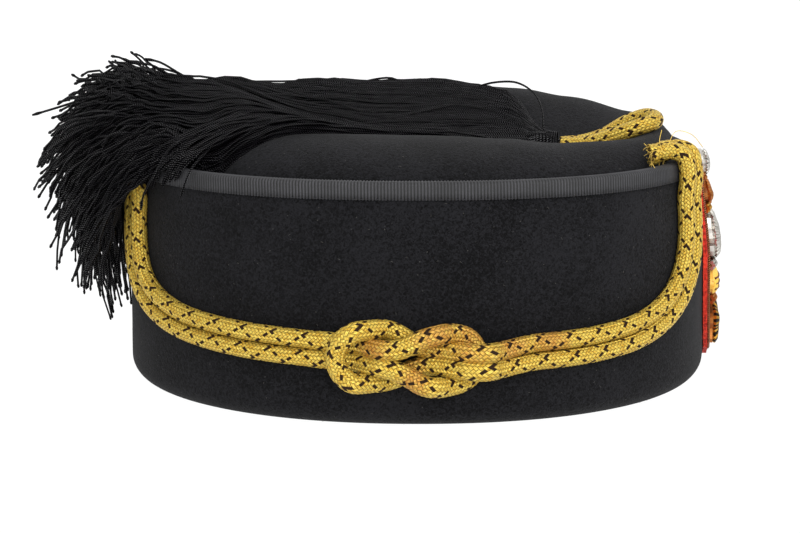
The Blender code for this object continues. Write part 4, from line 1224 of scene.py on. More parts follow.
def braided_cord(name, route, cells, tree, settings, materials, knotted=False, hollow=True):
    """Round braid along a route, its cells raised, its cut ends hollow."""
    columns = CARRIERS * cells
    points = smooth_route(route, LAY / columns)
    tangents, sides, backs = sweep_axes(points)
    run = np.arange(len(points)) * LAY / columns
    flare = np.exp(-np.minimum(run, run[-1] - run) / FLARE_LENGTH) * FLARE * hollow
    radii = CORD_DIAMETER / 2 * (1 + flare)
    # Rows before the first and after the last point go down the hole of the cut end
    hole = HOLE_SHARE if hollow else 0.0
    depth = HOLE_DEPTH if hollow else 0.0
    order = [1, 0, 0] + list(range(len(points))) + [-1, -1, -2]
    inward = np.zeros(len(order))
    inward[0] = inward[-1] = depth
    inward[1] = inward[-2] = MOUTH_DEPTH
    share = np.ones(len(order))
    share[[0, -1]] = HOLE_TAPER * hole
    share[[1, -2]] = hole
    share[[2, -3]] = LIP_SHARE
    direction = np.zeros(len(order))
    direction[:3] = 1.0
    direction[-3:] = -1.0
    centres = points[order] + tangents[order] * (inward * direction)[:, None]
    angles = np.arange(columns) * math.tau / columns
    rim = np.cos(angles)[None, :, None] * sides[order][:, None] \
        + np.sin(angles)[None, :, None] * backs[order][:, None]
    if knotted:
        rim = squeezed(centres, rim)
    vertices = centres[:, None] + rim * (radii[order] * share)[:, None, None]
    rows = len(order)
    index = np.arange(rows * columns).reshape(rows, columns)
    after = np.roll(index, -1, axis=1)
    faces = np.stack([index[:-1], after[:-1], after[1:], index[1:]], axis=-1).reshape(-1, 4)
    flat = vertices.reshape(-1, 3)
    start, stop = len(flat), len(flat) + 1
    flat = np.vstack([flat, centres[0], centres[-1]])
    caps = [(start, after[0][k], index[0][k]) for k in range(columns)]
    caps += [(stop, index[-1][k], after[-1][k]) for k in range(columns)]
    mesh = mesh_from(name, flat.tolist(), faces.tolist() + caps)
    run_rows = run[order]
    uv = mesh.uv_layers.new(name="braid")
    turn_of = np.arange(columns) / columns
    across = np.stack([turn_of, turn_of + 1 / columns, turn_of + 1 / columns, turn_of], axis=-1)
    across = np.broadcast_to(across, (rows - 1, columns, 4))
    along = np.stack([run_rows[:-1], run_rows[:-1], run_rows[1:], run_rows[1:]], axis=-1) / LAY
    along = np.broadcast_to(along[:, None, :], (rows - 1, columns, 4))
    pairs = np.stack([across, along], axis=-1).reshape(-1, 2)
    pairs = np.vstack([pairs, np.zeros((3 * len(caps), 2))])
    uv.data.foreach_set("uv", pairs.astype(np.float32).ravel())
    shown = np.ones(rows)
    shown[:3] = shown[-3:] = 0.0
    point_values(mesh, "turn", list(np.tile(turn_of, rows)) + [0.0, 0.0])
    point_values(mesh, "run", list(np.repeat(run_rows, columns)) + [0.0, 0.0])
    point_values(mesh, "shown", list(np.repeat(shown, columns)) + [0.0, 0.0])
    point_values(mesh, "worn", list(np.repeat(worn_share(centres), columns)) + [0.0, 0.0])
    for material in materials:
        mesh.materials.append(material)
    inner = np.zeros(len(faces) + len(caps), dtype=np.int32)
    inner[:2 * columns] = 1
    inner[len(faces) - 2 * columns:] = 1
    mesh.polygons.foreach_set("material_index", inner)
    piece = new_piece(name, mesh)
    return grow(piece, tree, Carriers=float(CARRIERS), Lay=LAY, Depth=settings.cell_depth)


def line_mesh(name, lines, thick):
    """Mesh of bare lines with a thickness for each point, for the strand and purl trees."""
    vertices = np.concatenate(lines)
    edges = []
    start = 0
    for line in lines:
        edges += [(k, k + 1) for k in range(start, start + len(line) - 1)]
        start += len(line)
    mesh = mesh_from(name, vertices.tolist(), [], edges)
    point_values(mesh, "thick", np.concatenate(thick))
    return mesh


def frayed_ends(tree, routes, settings, material):
    """Loose gilt threads round each cut end of the cords that shows."""
    chance = np.random.default_rng(7)
    lines = []
    for route in routes:
        points = smooth_route(route, 1.0 * MM)
        for place, inner in ((points[0], points[2]), (points[-1], points[-3])):
            outward = (place - inner) / np.linalg.norm(place - inner)
            side = np.cross(outward, (0.0, 0.0, 1.0))
            side /= np.linalg.norm(side)
            up = np.cross(side, outward)
            for k in range(settings.loose_threads):
                angle = k * math.tau / settings.loose_threads + chance.normal(0, 0.1)
                away = side * math.cos(angle) + up * math.sin(angle)
                root = place - outward * LOOSE_START * MM + away * CORD_DIAMETER * LOOSE_REACH
                length = chance.uniform(*LOOSE_LENGTHS) * MM
                lean = away * chance.uniform(-0.5, 0.7) + side * chance.normal(0, 0.3)
                droop = lean + up * chance.normal(0, 0.3)
                ends = [root, root + (outward + 0.3 * lean) * length * 0.5,
                        root + (outward * 0.8 + droop) * length]
                lines.append(smooth_route(ends, 0.5 * MM))
    lines += [smooth_route(np.array(route) * MM, 0.6 * MM) for route in LONG_THREADS]
    thick = [np.ones(len(line)) for line in lines]
    mesh = line_mesh("loose_threads", lines, thick)
    return grow(new_piece("loose_threads", mesh), tree, Radius=settings.loose_radius, Sides=4,
                Material=material)


def felt_height():
    """Function that gives the height of the highest solid at a place in the cap's own sizes."""
    names = ("felt_body", "edge_binding", "cord_back_bight", "cord_front_bight", "cord_far_upper",
             "cord_far_lower")
    trees = []
    for name in names:
        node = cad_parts[name]
        places = [node.matrix_world @ vertex.co for vertex in node.data.vertices]
        faces = [face.vertices[:] for face in node.data.polygons]
        trees.append(BVHTree.FromPolygons(places, faces))

    def height(x, y):
        origin = Vector((x, y, 0.3)) + CAP
        hits = [tree.ray_cast(origin, Vector((0, 0, -1)))[0] for tree in trees]
        return max([hit.z for hit in hits if hit is not None], default=0.0)

    return height


def draped_heights(height):
    """Grids of the cap's own heights, and of those that a cloth pulled over it would have."""
    xs = np.arange(-112, 62, 2.0) * MM
    ys = np.arange(-66, 66, 2.0) * MM
    raw = np.array([[height(x, y) for y in ys] for x in xs])
    cloth = raw.copy()
    for _ in range(40):
        spread = np.pad(cloth, 1, mode="edge")
        mean = sum(spread[i:i + cloth.shape[0], j:j + cloth.shape[1]]
                   for i in range(3) for j in range(3)) / 9
        cloth = np.maximum(raw, mean)
    # Nothing lies on the cap outside its edge, so the bare heights stop there
    return (xs, ys, raw), (xs, ys, cloth)


def read_grid(grid, x, y):
    """Heights at places, read between the points of a grid."""
    xs, ys, values = grid
    step = xs[1] - xs[0]
    u = np.clip((x - xs[0]) / step, 0, len(xs) - 1.001)
    v = np.clip((y - ys[0]) / step, 0, len(ys) - 1.001)
    i, j = u.astype(int), v.astype(int)
    u, v = u - i, v - j
    return ((values[i, j] * (1 - u) + values[i + 1, j] * u) * (1 - v)
            + (values[i, j + 1] * (1 - u) + values[i + 1, j + 1] * u) * v)


def tassel_lines(settings, bare, grid, head):
    """Lines of all the tassel's strands, from the head over the crown to their tips."""
    chance = np.random.default_rng(settings.seed)
    count = settings.strands
    number = np.arange(count)
    layer = (number + 0.5) / count
    share = np.modf(number * GOLDEN_SHARE)[0]
    radius = settings.thread / 2
    reach = chance.uniform(*WAVE_REACH, count) * MM
    reach[chance.random(count) < FAR_SWING[0]] *= FAR_SWING[1]
    waves = chance.uniform(*WAVE_LENGTH, count) * MM
    phases = chance.uniform(0, math.tau, count)
    start = HEAD_X + HEAD_LENGTH * 0.42
    x = np.linspace(start, LAID_ROWS[0][0] * MM, LAID_STEPS)
    x = x + (x < HEAD_X) * chance.uniform(-1.5, 1.5, count)[:, None] * MM
    right, left, depth = (read_line(LAID_ROWS, x / MM, column) * MM for column in (1, 2, 3))
    y = right + (left - right) * share[:, None]
    away = smooth_step((HEAD_X - x) / (30 * MM))
    y += away * reach[:, None] * np.sin(x * math.tau / waves[:, None] + phases[:, None])
    hump = 1 - PILE_ROUND * (2 * share[:, None] - 1) ** 2
    piled = layer[:, None] + chance.normal(0, PILE_UNEVEN, count)[:, None]
    z = read_grid(grid, x, y) + radius + np.clip(piled, 0, PILE_TOP) * depth * hump
    z += away * 0.3 * reach[:, None] * (1 + np.sin(x * 1.3 * math.tau / waves[:, None]))
    # Gather the near ends round the head, and lay the others over it
    root_reach = ROOT_RADIUS * np.sqrt(0.3 + 0.7 * layer)
    root_angle = number * GOLDEN_ANGLE
    root_y = head.y + root_reach * np.cos(root_angle)
    root_z = head.z + root_reach * np.sin(root_angle)
    spread = smooth_step((start - x) / (11 * MM))
    y = root_y[:, None] * (1 - spread) + y * spread
    z = root_z[:, None] * (1 - spread) + z * spread
    over_head = 1 - ((x - head.x) / (HEAD_LENGTH / 2)) ** 2 - ((y - head.y) / BOUND_RADIUS) ** 2
    crown = head.z + BOUND_RADIUS * np.sqrt(np.maximum(over_head, 0.0))
    z = np.where((over_head > 0) & (z > head.z), np.maximum(z, crown + radius), z)
    # Free part: over the rim and down to the tip
    turn_x, turn_z, tip_x, tip_z = (read_line(FREE_ROWS, layer, column) * MM
                                    for column in (1, 2, 3, 4))
    tip_y = TIP_RIGHT + (TIP_LEFT - TIP_RIGHT) * share
    last = np.stack([x[:, -1], y[:, -1], z[:, -1]], axis=1)
    before = np.stack([x[:, -2], y[:, -2], z[:, -2]], axis=1)
    lead = last - before
    lead[:, 2] *= np.where(lead[:, 2] > 0, 0.3, 1.0)
    lead /= np.linalg.norm(lead, axis=1, keepdims=True)
    turn_z = np.maximum(turn_z, last[:, 2] - 3 * MM)
    marks = [last + lead * LEAD_LENGTH,
             np.stack([turn_x, 0.6 * last[:, 1] + 0.4 * tip_y, turn_z], axis=1),
             np.stack([tip_x, tip_y, tip_z], axis=1)]
    droop = smooth_step(1 - share / DROOP_SHARE)[:, None]
    for k, place in enumerate(DROOP):
        raised = layer[:, None] * DROOP_LAYERS * np.array((0, 0.4, 1.0))
        lower = np.array(place)[None, :] * MM + raised
        marks[k] = marks[k] * (1 - droop) + lower * droop
    marks[2] = marks[2] + chance.normal(0, 1, (count, 3)) * np.array(TIP_SCATTER) * MM
    marks[2][:, 2] = np.maximum(marks[2][:, 2], TIP_LOWEST * MM)
    ends = 1 - SHORTEST * chance.random(count) ** 2.0
    steps = np.linspace(0, 1, FREE_STEPS + 1)[1:]
    t = (ends[:, None] * steps)[:, :, None]
    free = ((1 - t) ** 3 * last[:, None] + 3 * t * (1 - t) ** 2 * marks[0][:, None]
            + 3 * t ** 2 * (1 - t) * marks[1][:, None] + t ** 3 * marks[2][:, None])
    kink = chance.normal(0, KINK, (count, 2, 3)) * MM
    bend = np.sin(np.pi * steps * 1.6)[None, :, None] * kink[:, :1]
    bend += np.sin(np.pi * steps * 3.7)[None, :, None] * kink[:, 1:] * 0.6
    free += bend * steps[None, :, None]
    lines = np.concatenate([np.stack([x, y, z], axis=2), free], axis=1)
    run = np.cumsum(np.linalg.norm(np.diff(lines, axis=1, prepend=lines[:, :1]), axis=2), axis=1)
    loose = smooth_step((run - 14 * MM) / (20 * MM)) * (
        LAID_CRINKLE + (1 - LAID_CRINKLE) * smooth_step((run - 130 * MM) / (40 * MM)))
    for length, reach in CRINKLES:
        lean = chance.normal(0, reach * MM, (count, 1, 3))
        turn = run / (length * MM * chance.uniform(0.8, 1.25, (count, 1))) * math.tau
        wave = loose * np.sin(turn + chance.uniform(0, math.tau, (count, 1)))
        lines += lean * wave[:, :, None]
    below = read_grid(bare, lines[..., 0], lines[..., 1]) + radius
    lines[..., 2] = np.maximum(lines[..., 2], below)
    return lines


def keep_off_cuff(lines):
    """Move strand points that hang inside the back of the cuff or its cord to just outside."""
    flat = lines.reshape(-1, 3)
    hangs = (flat[:, 2] < 85 * MM) & (flat[:, 0] < -84 * MM)
    height = flat[:, 2] / MM
    # Farther out where the gold cord runs down the cuff
    clear = 1.6 + 6.0 * smooth_step((np.abs(flat[:, 1]) / MM - 26) / 8) * (flat[:, 2] < 80 * MM)
    half_length = (read_line(CUFF_ROWS, height, 1) + clear) * MM
    half_width = (read_line(CUFF_ROWS, height, 2) + clear) * MM
    power = read_line(CUFF_ROWS, height, 3)
    shift = read_line(CUFF_ROWS, height, 4) * MM
    reach = (np.abs((flat[:, 0] - shift) / half_length) ** power
             + np.abs(flat[:, 1] / half_width) ** power) ** (1 / power)
    inside = hangs & (reach < 1)
    flat[inside, 0] = shift[inside] + (flat[inside, 0] - shift[inside]) / reach[inside]
    flat[inside, 1] /= reach[inside]
    return flat.reshape(lines.shape)


def tassel_strands(tree, settings, bare, grid, head, material):
    """All the bare strands, in a few pieces, each strand with its knotted tip."""
    lines = keep_off_cuff(tassel_lines(settings, bare, grid, head))
    pieces = []
    for k in range(settings.pieces):
        rows = []
        for line in lines[k::settings.pieces]:
            ahead = (line[-1] - line[-2]) / np.linalg.norm(line[-1] - line[-2])
            start, stop = line[-1] - ahead * TIP_KNOT[0], line[-1] + ahead * TIP_KNOT[1]
            rows.append(np.vstack([line[:-1], start, line[-1], stop]))
        if k == 0:
            rows += [smooth_route(np.array(route) * MM, STRAND_STEP) for route in STRAYS]
            rows += curtain_lines(settings)
        thick = [np.concatenate([np.ones(len(row) - 2), TIP_KNOT_WIDTHS]) for row in rows]
        mesh = line_mesh(f"tassel_strands_{k}", rows, thick)
        pieces.append(grow(new_piece(f"tassel_strands_{k}", mesh), tree,
                           Radius=settings.thread / 2, Sides=4, Material=material))
    return pieces


def curtain_lines(settings):
    """Strands at the right edge that fall over the bound edge and the top of the gold cord."""
    chance = np.random.default_rng(settings.seed + 1)
    first, last = (np.array(route) * MM for route in CURTAIN)
    lines = []
    for k in range(settings.curtain):
        share = (k + 0.5) / settings.curtain
        route = first * (1 - share) + last * share + chance.normal(0, CURTAIN_SCATTER, first.shape)
        line = smooth_route(route, STRAND_STEP)
        lines.append(line[:int(len(line) * chance.uniform(CURTAIN_SHORTEST, 1.0))])
    return lines


def tassel_head(tree, head, settings, material):
    """Wound head: a thread laid round and round an egg-shaped knob."""
    steps = HEAD_STEPS * HEAD_TURNS
    points = []
    for k in range(steps + 1):
        share = k / steps
        lean = math.pi * (0.06 + 0.88 * share)
        across = (BOUND_RADIUS - 0.4 * MM) * math.sin(lean)
        angle = share * HEAD_TURNS * math.tau
        points.append((head.x + HEAD_LENGTH / 2 * math.cos(lean), head.y + across * math.cos(angle),
                       head.z + across * math.sin(angle)))
    line = np.array(points)
    mesh = line_mesh("tassel_head", [line], [np.full(len(line), HEAD_THREAD)])
    return grow(new_piece("tassel_head", mesh), tree, Radius=settings.thread / 2, Sides=6,
                Material=material)


def over_badge(aside, level, rise):
    """Point over the badge's felt: how far aside, how high, and how far it stands off."""
    return on_cuff(FRONT_ALONG + aside, level, badge_base(level) + BADGE_FELT + BADGE_GAP + rise)


def badge_base(height):
    """Standoff of the badge's felt, which steps out over the bound edge at its top."""
    share = (height - BADGE_LEAN_FROM) / (BADGE_LEAN_TO - BADGE_LEAN_FROM)
    return CLEARANCE + 0.1 * MM + BADGE_LEAN * float(smooth_step(share))


def lobe_reach(relief, angle):
    """Share of a relief's full reach that its lobed outline has at an angle."""
    lobes, depth, start = relief["lobes"]
    return 1 - depth * (0.5 - 0.5 * math.cos(lobes * (angle - start)))


def on_relief(relief, angle, share, lift):
    """Point over a padded relief of the badge: an angle, a share of the way out, and a lift."""
    wave = lobe_reach(relief, angle)
    aside = relief["across"] * wave * math.cos(angle) * share
    level = relief["height"] + relief["tall"] * wave * math.sin(angle) * share
    crown = float(read_line(PAD_CROWN, share, 1))
    return over_badge(aside, level, relief["rise"] * crown + lift)


def relief_rays(relief, start, stop, lift, pick):
    """Lines of purl that run outward over a relief, those of the rays that are picked."""
    lines = []
    for k in range(relief["rays"]):
        if k % 2 not in pick:
            continue
        angle = (k + 0.5) * math.tau / relief["rays"]
        inner = start if k % 2 else start + 0.12
        lines.append(np.array([on_relief(relief, angle, share, lift)
                               for share in np.linspace(inner, stop, 7)]))
    return lines


def relief_ring(relief, share, lift, count=40):
    """Closed line round a relief at a share of the way out."""
    points = [on_relief(relief, math.tau * k / count, share, lift) for k in range(count + 1)]
    return np.array(points)


def satin_lines(relief, pitch, lift):
    """Threads of the satin pad, laid side by side from its lower to its upper edge."""
    lines = []
    half = relief["across"] * 0.97
    for aside in np.arange(-half, half + pitch / 2, pitch):
        tall = relief["tall"] * math.sqrt(max(0.02, 1 - (aside / relief["across"]) ** 2))
        line = []
        for share in np.linspace(-1, 1, 11):
            level = relief["height"] + tall * share
            out = math.hypot(aside / relief["across"], tall * share / relief["tall"])
            crown = float(read_line(PAD_CROWN, out, 1))
            crown *= 1 - 0.35 * max(0.0, abs(share) - 0.8) / 0.2
            line.append(over_badge(aside, level, relief["rise"] * crown + lift))
        lines.append(np.array(line))
    return lines


def satin_bands(relief, lift):
    """Dark cords laid across the satin pad."""
    lines = []
    for side in (-0.34, 0.0, 0.34):
        line = []
        for share in np.linspace(-0.98, 0.98, 15):
            out = min(1.0, math.hypot(share, side))
            level = relief["height"] + relief["tall"] * side
            crown = float(read_line(PAD_CROWN, out, 1))
            aside = relief["across"] * share * 0.93
            line.append(over_badge(aside, level, relief["rise"] * crown + lift))
        lines.append(np.array(line))
    return lines


def filling_rows(height, half, standoff):
    """Three rows of purl laid across the badge, one on the other, to fill between its reliefs."""
    lines = []
    for step, back in ((-ROW_STEP, ROW_BACK), (0.0, 0.0), (ROW_STEP, ROW_BACK)):
        level = height + step
        lines.append(np.array([
            over_badge(aside, level, standoff - back - ROW_DROP * (aside / half) ** 4)
            for aside in np.linspace(-half, half, 15)]))
    return lines


def backing_edge(inset, standoff):
    """Closed line just inside the edge of the badge's felt."""
    right = [(width, height) for height, width in BACKING_ROWS]
    outline = right + [(-width, height) for width, height in right[::-1]]
    line = []
    for width, height in outline + outline[:1]:
        away = math.hypot(width, height - BACKING_MIDDLE)
        share = 1 - inset / MM / away
        level = (BACKING_MIDDLE + (height - BACKING_MIDDLE) * share) * MM
        line.append(on_cuff(FRONT_ALONG + width * share * MM, level, badge_base(level) + standoff))
    return smooth_route(line, 1.0 * MM)


def sewn_lines(name, tree, lines, slot, nodes=(), **values):
    """Piece of embroidery made from lines by a tree, handed over to the frame."""
    mesh = line_mesh(name, lines, [np.ones(len(line)) for line in lines])
    return hand_over(grow(new_piece(name, mesh), tree, **values), slot, nodes)


def colour_setting(name, description, code):
    """Colour that the panel shows."""
    return bpy.props.FloatVectorProperty(name=name, description=description, subtype="COLOR",
                                         default=linear(code), min=0, max=1)


def length_setting(name, description, default, low):
    """Length that the panel shows."""
    return bpy.props.FloatProperty(name=name, description=description, unit="LENGTH",
                                   default=default, min=low)


class FezFeltSettings(bpy.types.PropertyGroup):
    """Sizes and colours of the felt and its bound edge."""
    dark: colour_setting("Felt, dark", "Colour between the felt's fibres", "#020203")
    light: colour_setting("Felt, light", "Colour on the felt's fibres", "#19191c")
    colour: colour_setting("Ribbon", "Colour of the ribbon's ribs", "#3c3c40")
    rib_pitch: length_setting(
        "Rib pitch", "From one rib of the ribbon to the next", 1.0 * MM, 0.2 * MM)
    rib_depth: length_setting("Rib depth", "How far a rib stands out", 0.16 * MM, 0)
    stitch_pitch: length_setting(
        "Stitch pitch", "From one stitch under the ribbon to the next", 2.6 * MM, 0.5 * MM)


class FezCordSettings(bpy.types.PropertyGroup):
    """Sizes and colours of the gold cord."""
    # Lit and deep gilt: the ends of the painted glints and the random tone of the cells
    gold: colour_setting("Gilt, lit", "Brightest colour of the gilt thread", "#ffe46c")
    shade: colour_setting("Gilt, deep", "Deeper colour of the gilt thread", "#d0980c")
    copper: colour_setting("Worn gilt", "Colour where the gilt is worn", "#c8743c")
    fleck: colour_setting("Fleck", "Colour of the dark thread", "#2b1704")
    cell_depth: length_setting(
        "Cell depth", "How far the cells of the braid stand out", 0.15 * MM, 0)
    loose_threads: bpy.props.IntProperty(
        name="Loose threads", description="Threads that stand out round a cut end", default=26,
        min=0)
    loose_radius: length_setting(
        "Loose thread radius", "Half the width of a loose thread", 0.12 * MM, 0)


class FezTasselSettings(bpy.types.PropertyGroup):
    """Sizes of the tassel."""
    strands: bpy.props.IntProperty(
        name="Strands", description="Number of strands", default=930, min=20)
    pieces: bpy.props.IntProperty(
        name="Pieces", description="Meshes that the strands are shared between", default=4, min=1)
    curtain: bpy.props.IntProperty(
        name="Curtain", description="Number of strands over the bound edge", default=34, min=1)
    thread: length_setting("Strand width", "Width of one strand", 0.86 * MM, 0.1 * MM)
    lay: length_setting("Twist", "Length of one turn of the two plies", 1.7 * MM, 0.2 * MM)
    seed: bpy.props.IntProperty(name="Seed", description="Seed of the strands' waves", default=11)


class FezBadgeSettings(bpy.types.PropertyGroup):
    """Sizes of the embroidery."""
    purl: length_setting("Purl radius", "Half the width of the wound wire", 0.62 * MM, 0.1 * MM)
    coil: length_setting("Coil", "From one turn of the wire to the next", 0.5 * MM, 0.1 * MM)
    satin_pitch: length_setting(
        "Satin pitch", "From one thread of the satin stitch to the next", 0.62 * MM, 0.1 * MM)


class FezStageSettings(bpy.types.PropertyGroup):
    """Light and floor."""
    floor: colour_setting("Floor", "Colour of the floor", "#101010")
    glow: bpy.props.FloatProperty(
        name="Table light", description="Strength of the light from the table", default=1.0, min=0)
    sky: bpy.props.FloatProperty(
        name="Room light", description="Strength of the light from all round", default=1.0, min=0)
    key: bpy.props.FloatProperty(
        name="Main light", description="Power of the large light overhead", default=2.5, min=0)
    fill: bpy.props.FloatProperty(
        name="Front light", description="Power of the light in front", default=8.0, min=0)


class FEZ_OT_felt(bpy.types.Operator):
    """Make the felt cap, the ribbon over its edge, and the stitches that hold the ribbon"""
    bl_idname = "fez.felt"
    bl_label = "Felt cap and ribbon"

    def execute(self, context):
        settings = context.scene.fez_felt
        felt = felt_material("black_wool_felt", settings.dark, settings.light,
                             linear("#4c4a47"), 0.045, 0.035)
        cap = felt_cap(felt)
        lint = cap.copy()
        lint.data = cap.data.copy()
        lint.name = "felt_lint"
        context.scene.collection.objects.link(lint)
        pale = thread_material("grey_wool_lint", "#625f5b")
        grow(lint, lint_tree(), Density=4200.0, Length=0.9 * MM, Width=0.05 * MM, Seed=5,
             Material=pale)
        hand_over(lint, "black_felt")
        hand_over(cap, "black_felt", ["felt_body"])
        ribbon = edge_ribbon(rib_tree(), settings, ribbon_material(settings))
        hand_over(ribbon, "black_ribbon", ["edge_binding"])
        low = RIM_HEIGHT - RIBBON_WIDTH - PRESSED_FLAT + 0.2 * MM
        seam = np.array([cuff_point(math.tau * k / 300, low, CLEARANCE + RIBBON_THICKNESS)
                         for k in range(301)])
        thread = thread_material("black_sewing_thread", "#232327")
        sewn_lines("ribbon_stitches", stitch_tree(), [seam], "black_ribbon",
                   Pitch=settings.stitch_pitch, Length=1.1 * MM, Width=0.38 * MM, Material=thread)
        return {"FINISHED"}


class FEZ_OT_cords(bpy.types.Operator):
    """Make the braided gold cord: the knot, the plain side, the tassel's loop and loose threads"""
    bl_idname = "fez.cords"
    bl_label = "Gold cord"

    def execute(self, context):
        settings = context.scene.fez_cord
        materials = (braid_material(settings), cut_end_hole_material())
        tree = braid_tree()
        back = bight_route(BACK_BIGHT, BACK_SWAG, BACK_TURN, 1, 2, BIGHT_LIFT)
        front = bight_route(FRONT_BIGHT, FRONT_SWAG[::-1], FRONT_TURN, -1, 3, FRONT_BIGHT_LIFT)
        for name, node, route in (("back_cord", "cord_back_bight", back),
                                  ("front_cord", "cord_front_bight", front)):
            cord = braided_cord(name, route, CELL_COLUMNS, tree, settings, materials, knotted=True)
            hand_over(cord, "gold_braid", [node])
        for name, node, side in (("left_cord_upper", "cord_far_upper", CORD_SPACING / 2),
                                 ("left_cord_lower", "cord_far_lower", -CORD_SPACING / 2)):
            cord = braided_cord(name, far_route(side), FAR_CELL_COLUMNS, tree, settings, materials)
            hand_over(cord, "gold_braid", [node])
        height = felt_height()
        loop = [Vector((x * MM, y * MM, height(x * MM, y * MM) + rise * MM))
                for x, y, rise in LOOP_ROUTE]
        cord = braided_cord("tassel_cord_loop", loop, CELL_COLUMNS, tree, settings, materials,
                            hollow=False)
        hand_over(cord, "gold_braid", ["tassel_loop"])
        gilt = wire_material("gilt_lame_thread", "#f6d878", "#c09a34", 0.4)
        loose = frayed_ends(strand_tree(), (front, back), settings, gilt)
        hand_over(loose, "gold_braid")
        return {"FINISHED"}


class FEZ_OT_tassel(bpy.types.Operator):
    """Make the tassel: a wound head and its bare twisted strands"""
    bl_idname = "fez.tassel"
    bl_label = "Tassel"

    def execute(self, context):
        settings = context.scene.fez_tassel
        tree = strand_tree()
        height = felt_height()
        reach = HEAD_RADIUS / 2
        seat = max(height(HEAD_X + dx, HEAD_Y) for dx in (-reach, 0.0, reach))
        head = Vector((HEAD_X, HEAD_Y, seat + CLEARANCE + HEAD_RADIUS))
        # Black as the painted shade between plies, the grey as the painted highlight on them
        black = twist_material("black_rayon_twist", "#000000", "#26242a", settings.lay,
                               {"Roughness": 0.3})
        hand_over(tassel_head(tree, head, settings, black), "black_cotton", ["tassel"])
        bare, grid = draped_heights(height)
        for piece in tassel_strands(tree, settings, bare, grid, head, black):
            hand_over(piece, "black_cotton", ["tassel"])
        return {"FINISHED"}


class FEZ_OT_badge(bpy.types.Operator):
    """Make the badge: a flower spray of wound wire and satin stitch on red felt"""
    bl_idname = "fez.badge"
    bl_label = "Badge"

    def execute(self, context):
        settings = context.scene.fez_badge
        purl = purl_tree()
        strand = strand_tree()
        red = felt_material("red_wool_felt", linear("#8e1c14"), linear("#e23f2c"),
                            linear("#e08a78"), 0.03, 0.15)
        wires = {metal: wire_material(f"{metal}_purl_wire", *look) for metal, look in WIRES.items()}
        silver, copper, gilt, dark = wires.values()
        satin = satin_material()
        under = {"badge_backing": red, "badge_bud": silver, "badge_upper_leaves": copper,
                 "badge_rosette": silver, "badge_satin_pad": satin, "badge_palmette": copper}
        for node, material in under.items():
            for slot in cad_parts[node].material_slots:
                slot.material = material
        lift = settings.purl * 0.7
        values = {"Radius": settings.purl, "Coil": settings.coil, "Depth": 0.16}
        bud, leaves, rosette, pad, palmette = RELIEFS.values()
        petals = relief_rays(rosette, 0.34, 0.96, lift, (0, 1))
        petals.append(relief_ring(rosette, 0.20, lift))
        heart = [relief_ring(rosette, share, lift * 1.2, 24) for share in (0.04, 0.11)]
        heart += [relief_ring(rosette, 0.30, lift * 1.1)]
        for name, lines, slot, wire in (
                ("bud", relief_rays(bud, 0.2, 0.93, lift, (0, 1)), "silver_bullion", silver),
                ("leaf", relief_rays(leaves, 0.15, 0.95, lift, (0, 1)), "copper_bullion", copper),
                ("rosette", petals, "silver_bullion", silver),
                ("heart", heart, "copper_bullion", copper),
                ("palmette", relief_rays(palmette, 0.12, 0.96, lift, (0,)), "copper_bullion", gilt),
                ("palmette_dark", relief_rays(palmette, 0.12, 0.96, lift, (1,)), "copper_bullion",
                 dark)):
            sewn_lines(f"badge_{name}_purl", purl, lines, slot, Material=wire, **values)
        sewn_lines("badge_satin_threads", strand,
                   satin_lines(pad, settings.satin_pitch, 0.1 * MM), "yellow_satin",
                   Radius=settings.satin_pitch * 0.55, Sides=6, Material=satin)
        for name, height, half, standoff, metal in FILLING_ROWS:
            rows = filling_rows(height * MM, half * MM, standoff * MM)
            sewn_lines(name, purl, rows, "copper_bullion", Material=wires[metal], **values)
        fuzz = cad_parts["badge_backing"].copy()
        fuzz.data = fuzz.data.copy()
        fuzz.data.transform(Matrix.Translation(-CAP))
        edge_fuzz = new_piece("badge_felt_fringe", fuzz.data)
        bpy.data.objects.remove(fuzz)
        grow(edge_fuzz, lint_tree(), Density=150000.0, Length=2.1 * MM, Width=0.12 * MM, Seed=9,
             Material=red)
        hand_over(edge_fuzz, "red_felt")
        # Dark brown as the painted shade between plies, copper as the painted highlight on them
        twisted = twist_material("copper_couched_cord", "#3a1f10", "#b9723c", 1.6 * MM,
                                 {"Roughness": 0.45, "Metallic": 0.4})
        bands = satin_bands(pad, 0.45 * MM)
        edge = [backing_edge(2.2 * MM, BADGE_FELT + 0.35 * MM)]
        sewn_lines("badge_couched_cords", strand, bands + edge, "copper_bullion",
                   Radius=0.5 * MM, Sides=6, Material=twisted)
        return {"FINISHED"}


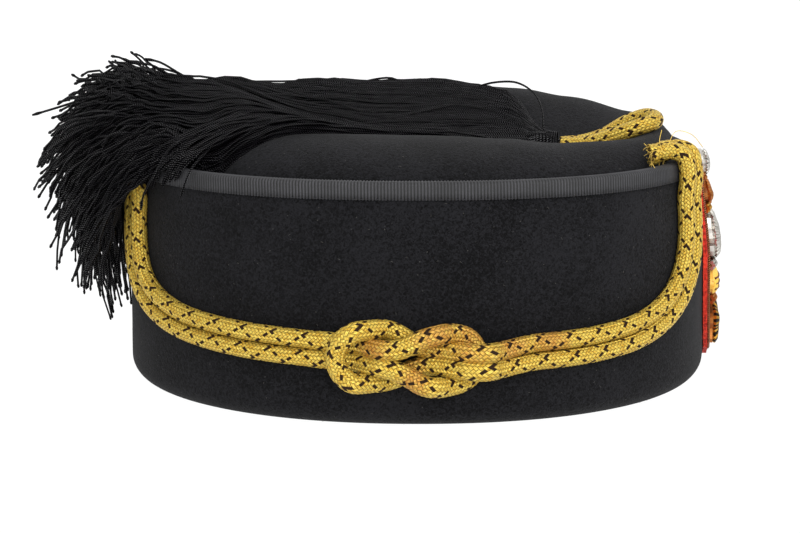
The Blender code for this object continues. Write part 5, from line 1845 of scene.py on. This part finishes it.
class FEZ_OT_stage(bpy.types.Operator):
    """Make the floor, the lights and the camera"""
    bl_idname = "fez.stage"
    bl_label = "Stage"

    def execute(self, context):
        settings = context.scene.fez_stage
        corners = [(x * FLOOR_REACH, y * FLOOR_REACH, 0)
                   for x, y in ((-1, -1), (1, -1), (1, 1), (-1, 1))]
        floor = new_piece("paper_floor", mesh_from("paper_floor", corners, [(0, 1, 2, 3)]))
        floor.data.materials.append(table_material(settings))
        world = bpy.data.worlds.new("studio")
        world.use_nodes = True
        set_inputs(world.node_tree, world.node_tree.nodes["Background"],
                   {"Color": (1.0, 1.0, 1.0, 1.0), "Strength": settings.sky})
        context.scene.world = world
        for name, place, size, power in LAMPS:
            light = bpy.data.lights.new(name, "AREA")
            light.size = size
            light.energy = getattr(settings, power)
            lamp = bpy.data.objects.new(name, light)
            lamp.location = Vector(place) + CAP
            aim = LAMP_AIM - Vector(place)
            lamp.rotation_euler = aim.to_track_quat("-Z", "Y").to_euler()
            context.scene.collection.objects.link(lamp)
        camera = bpy.data.objects.new("camera", bpy.data.cameras.new("camera"))
        camera.data.lens = CAMERA_LENS
        camera.data.sensor_width = SENSOR
        camera.data.clip_start = 10 * MM
        camera.location = CAMERA_PLACE + CAP
        camera.rotation_euler = (math.radians(CAMERA_TILT), 0.0, 0.0)
        context.scene.collection.objects.link(camera)
        context.scene.camera = camera
        context.scene.view_settings.view_transform = "Standard"
        return {"FINISHED"}


class FEZ_PT_panel(bpy.types.Panel):
    """Panel that lists the pieces of the cap"""
    bl_idname = "FEZ_PT_panel"
    bl_label = "Fez"
    bl_space_type = "VIEW_3D"
    bl_region_type = "UI"
    bl_category = "Fez"

    def draw(self, context):
        for group, settings, operator in STEPS:
            box = self.layout.box()
            box.operator(operator)
            for name in settings.__annotations__:
                box.prop(getattr(context.scene, group), name)


STEPS = (
    ("fez_stage", FezStageSettings, "fez.stage"),
    ("fez_felt", FezFeltSettings, "fez.felt"),
    ("fez_cord", FezCordSettings, "fez.cords"),
    ("fez_tassel", FezTasselSettings, "fez.tassel"),
    ("fez_badge", FezBadgeSettings, "fez.badge"),
)
CLASSES = (FezFeltSettings, FezCordSettings, FezTasselSettings, FezBadgeSettings, FezStageSettings,
           FEZ_OT_felt, FEZ_OT_cords, FEZ_OT_tassel, FEZ_OT_badge, FEZ_OT_stage, FEZ_PT_panel)


def register():
    """Register the classes and give the scene its settings."""
    for item in CLASSES:
        bpy.utils.register_class(item)
    for group, settings, _ in STEPS:
        setattr(bpy.types.Scene, group, bpy.props.PointerProperty(type=settings))


def unregister():
    """Take the settings and the classes away again."""
    for group, _, _ in STEPS:
        delattr(bpy.types.Scene, group)
    for item in reversed(CLASSES):
        bpy.utils.unregister_class(item)


def main():
    """Dress the frame."""
    register()
    bpy.ops.fez.stage()
    bpy.ops.fez.felt()
    bpy.ops.fez.cords()
    bpy.ops.fez.tassel()
    bpy.ops.fez.badge()


if __name__ == "__main__":
    main()
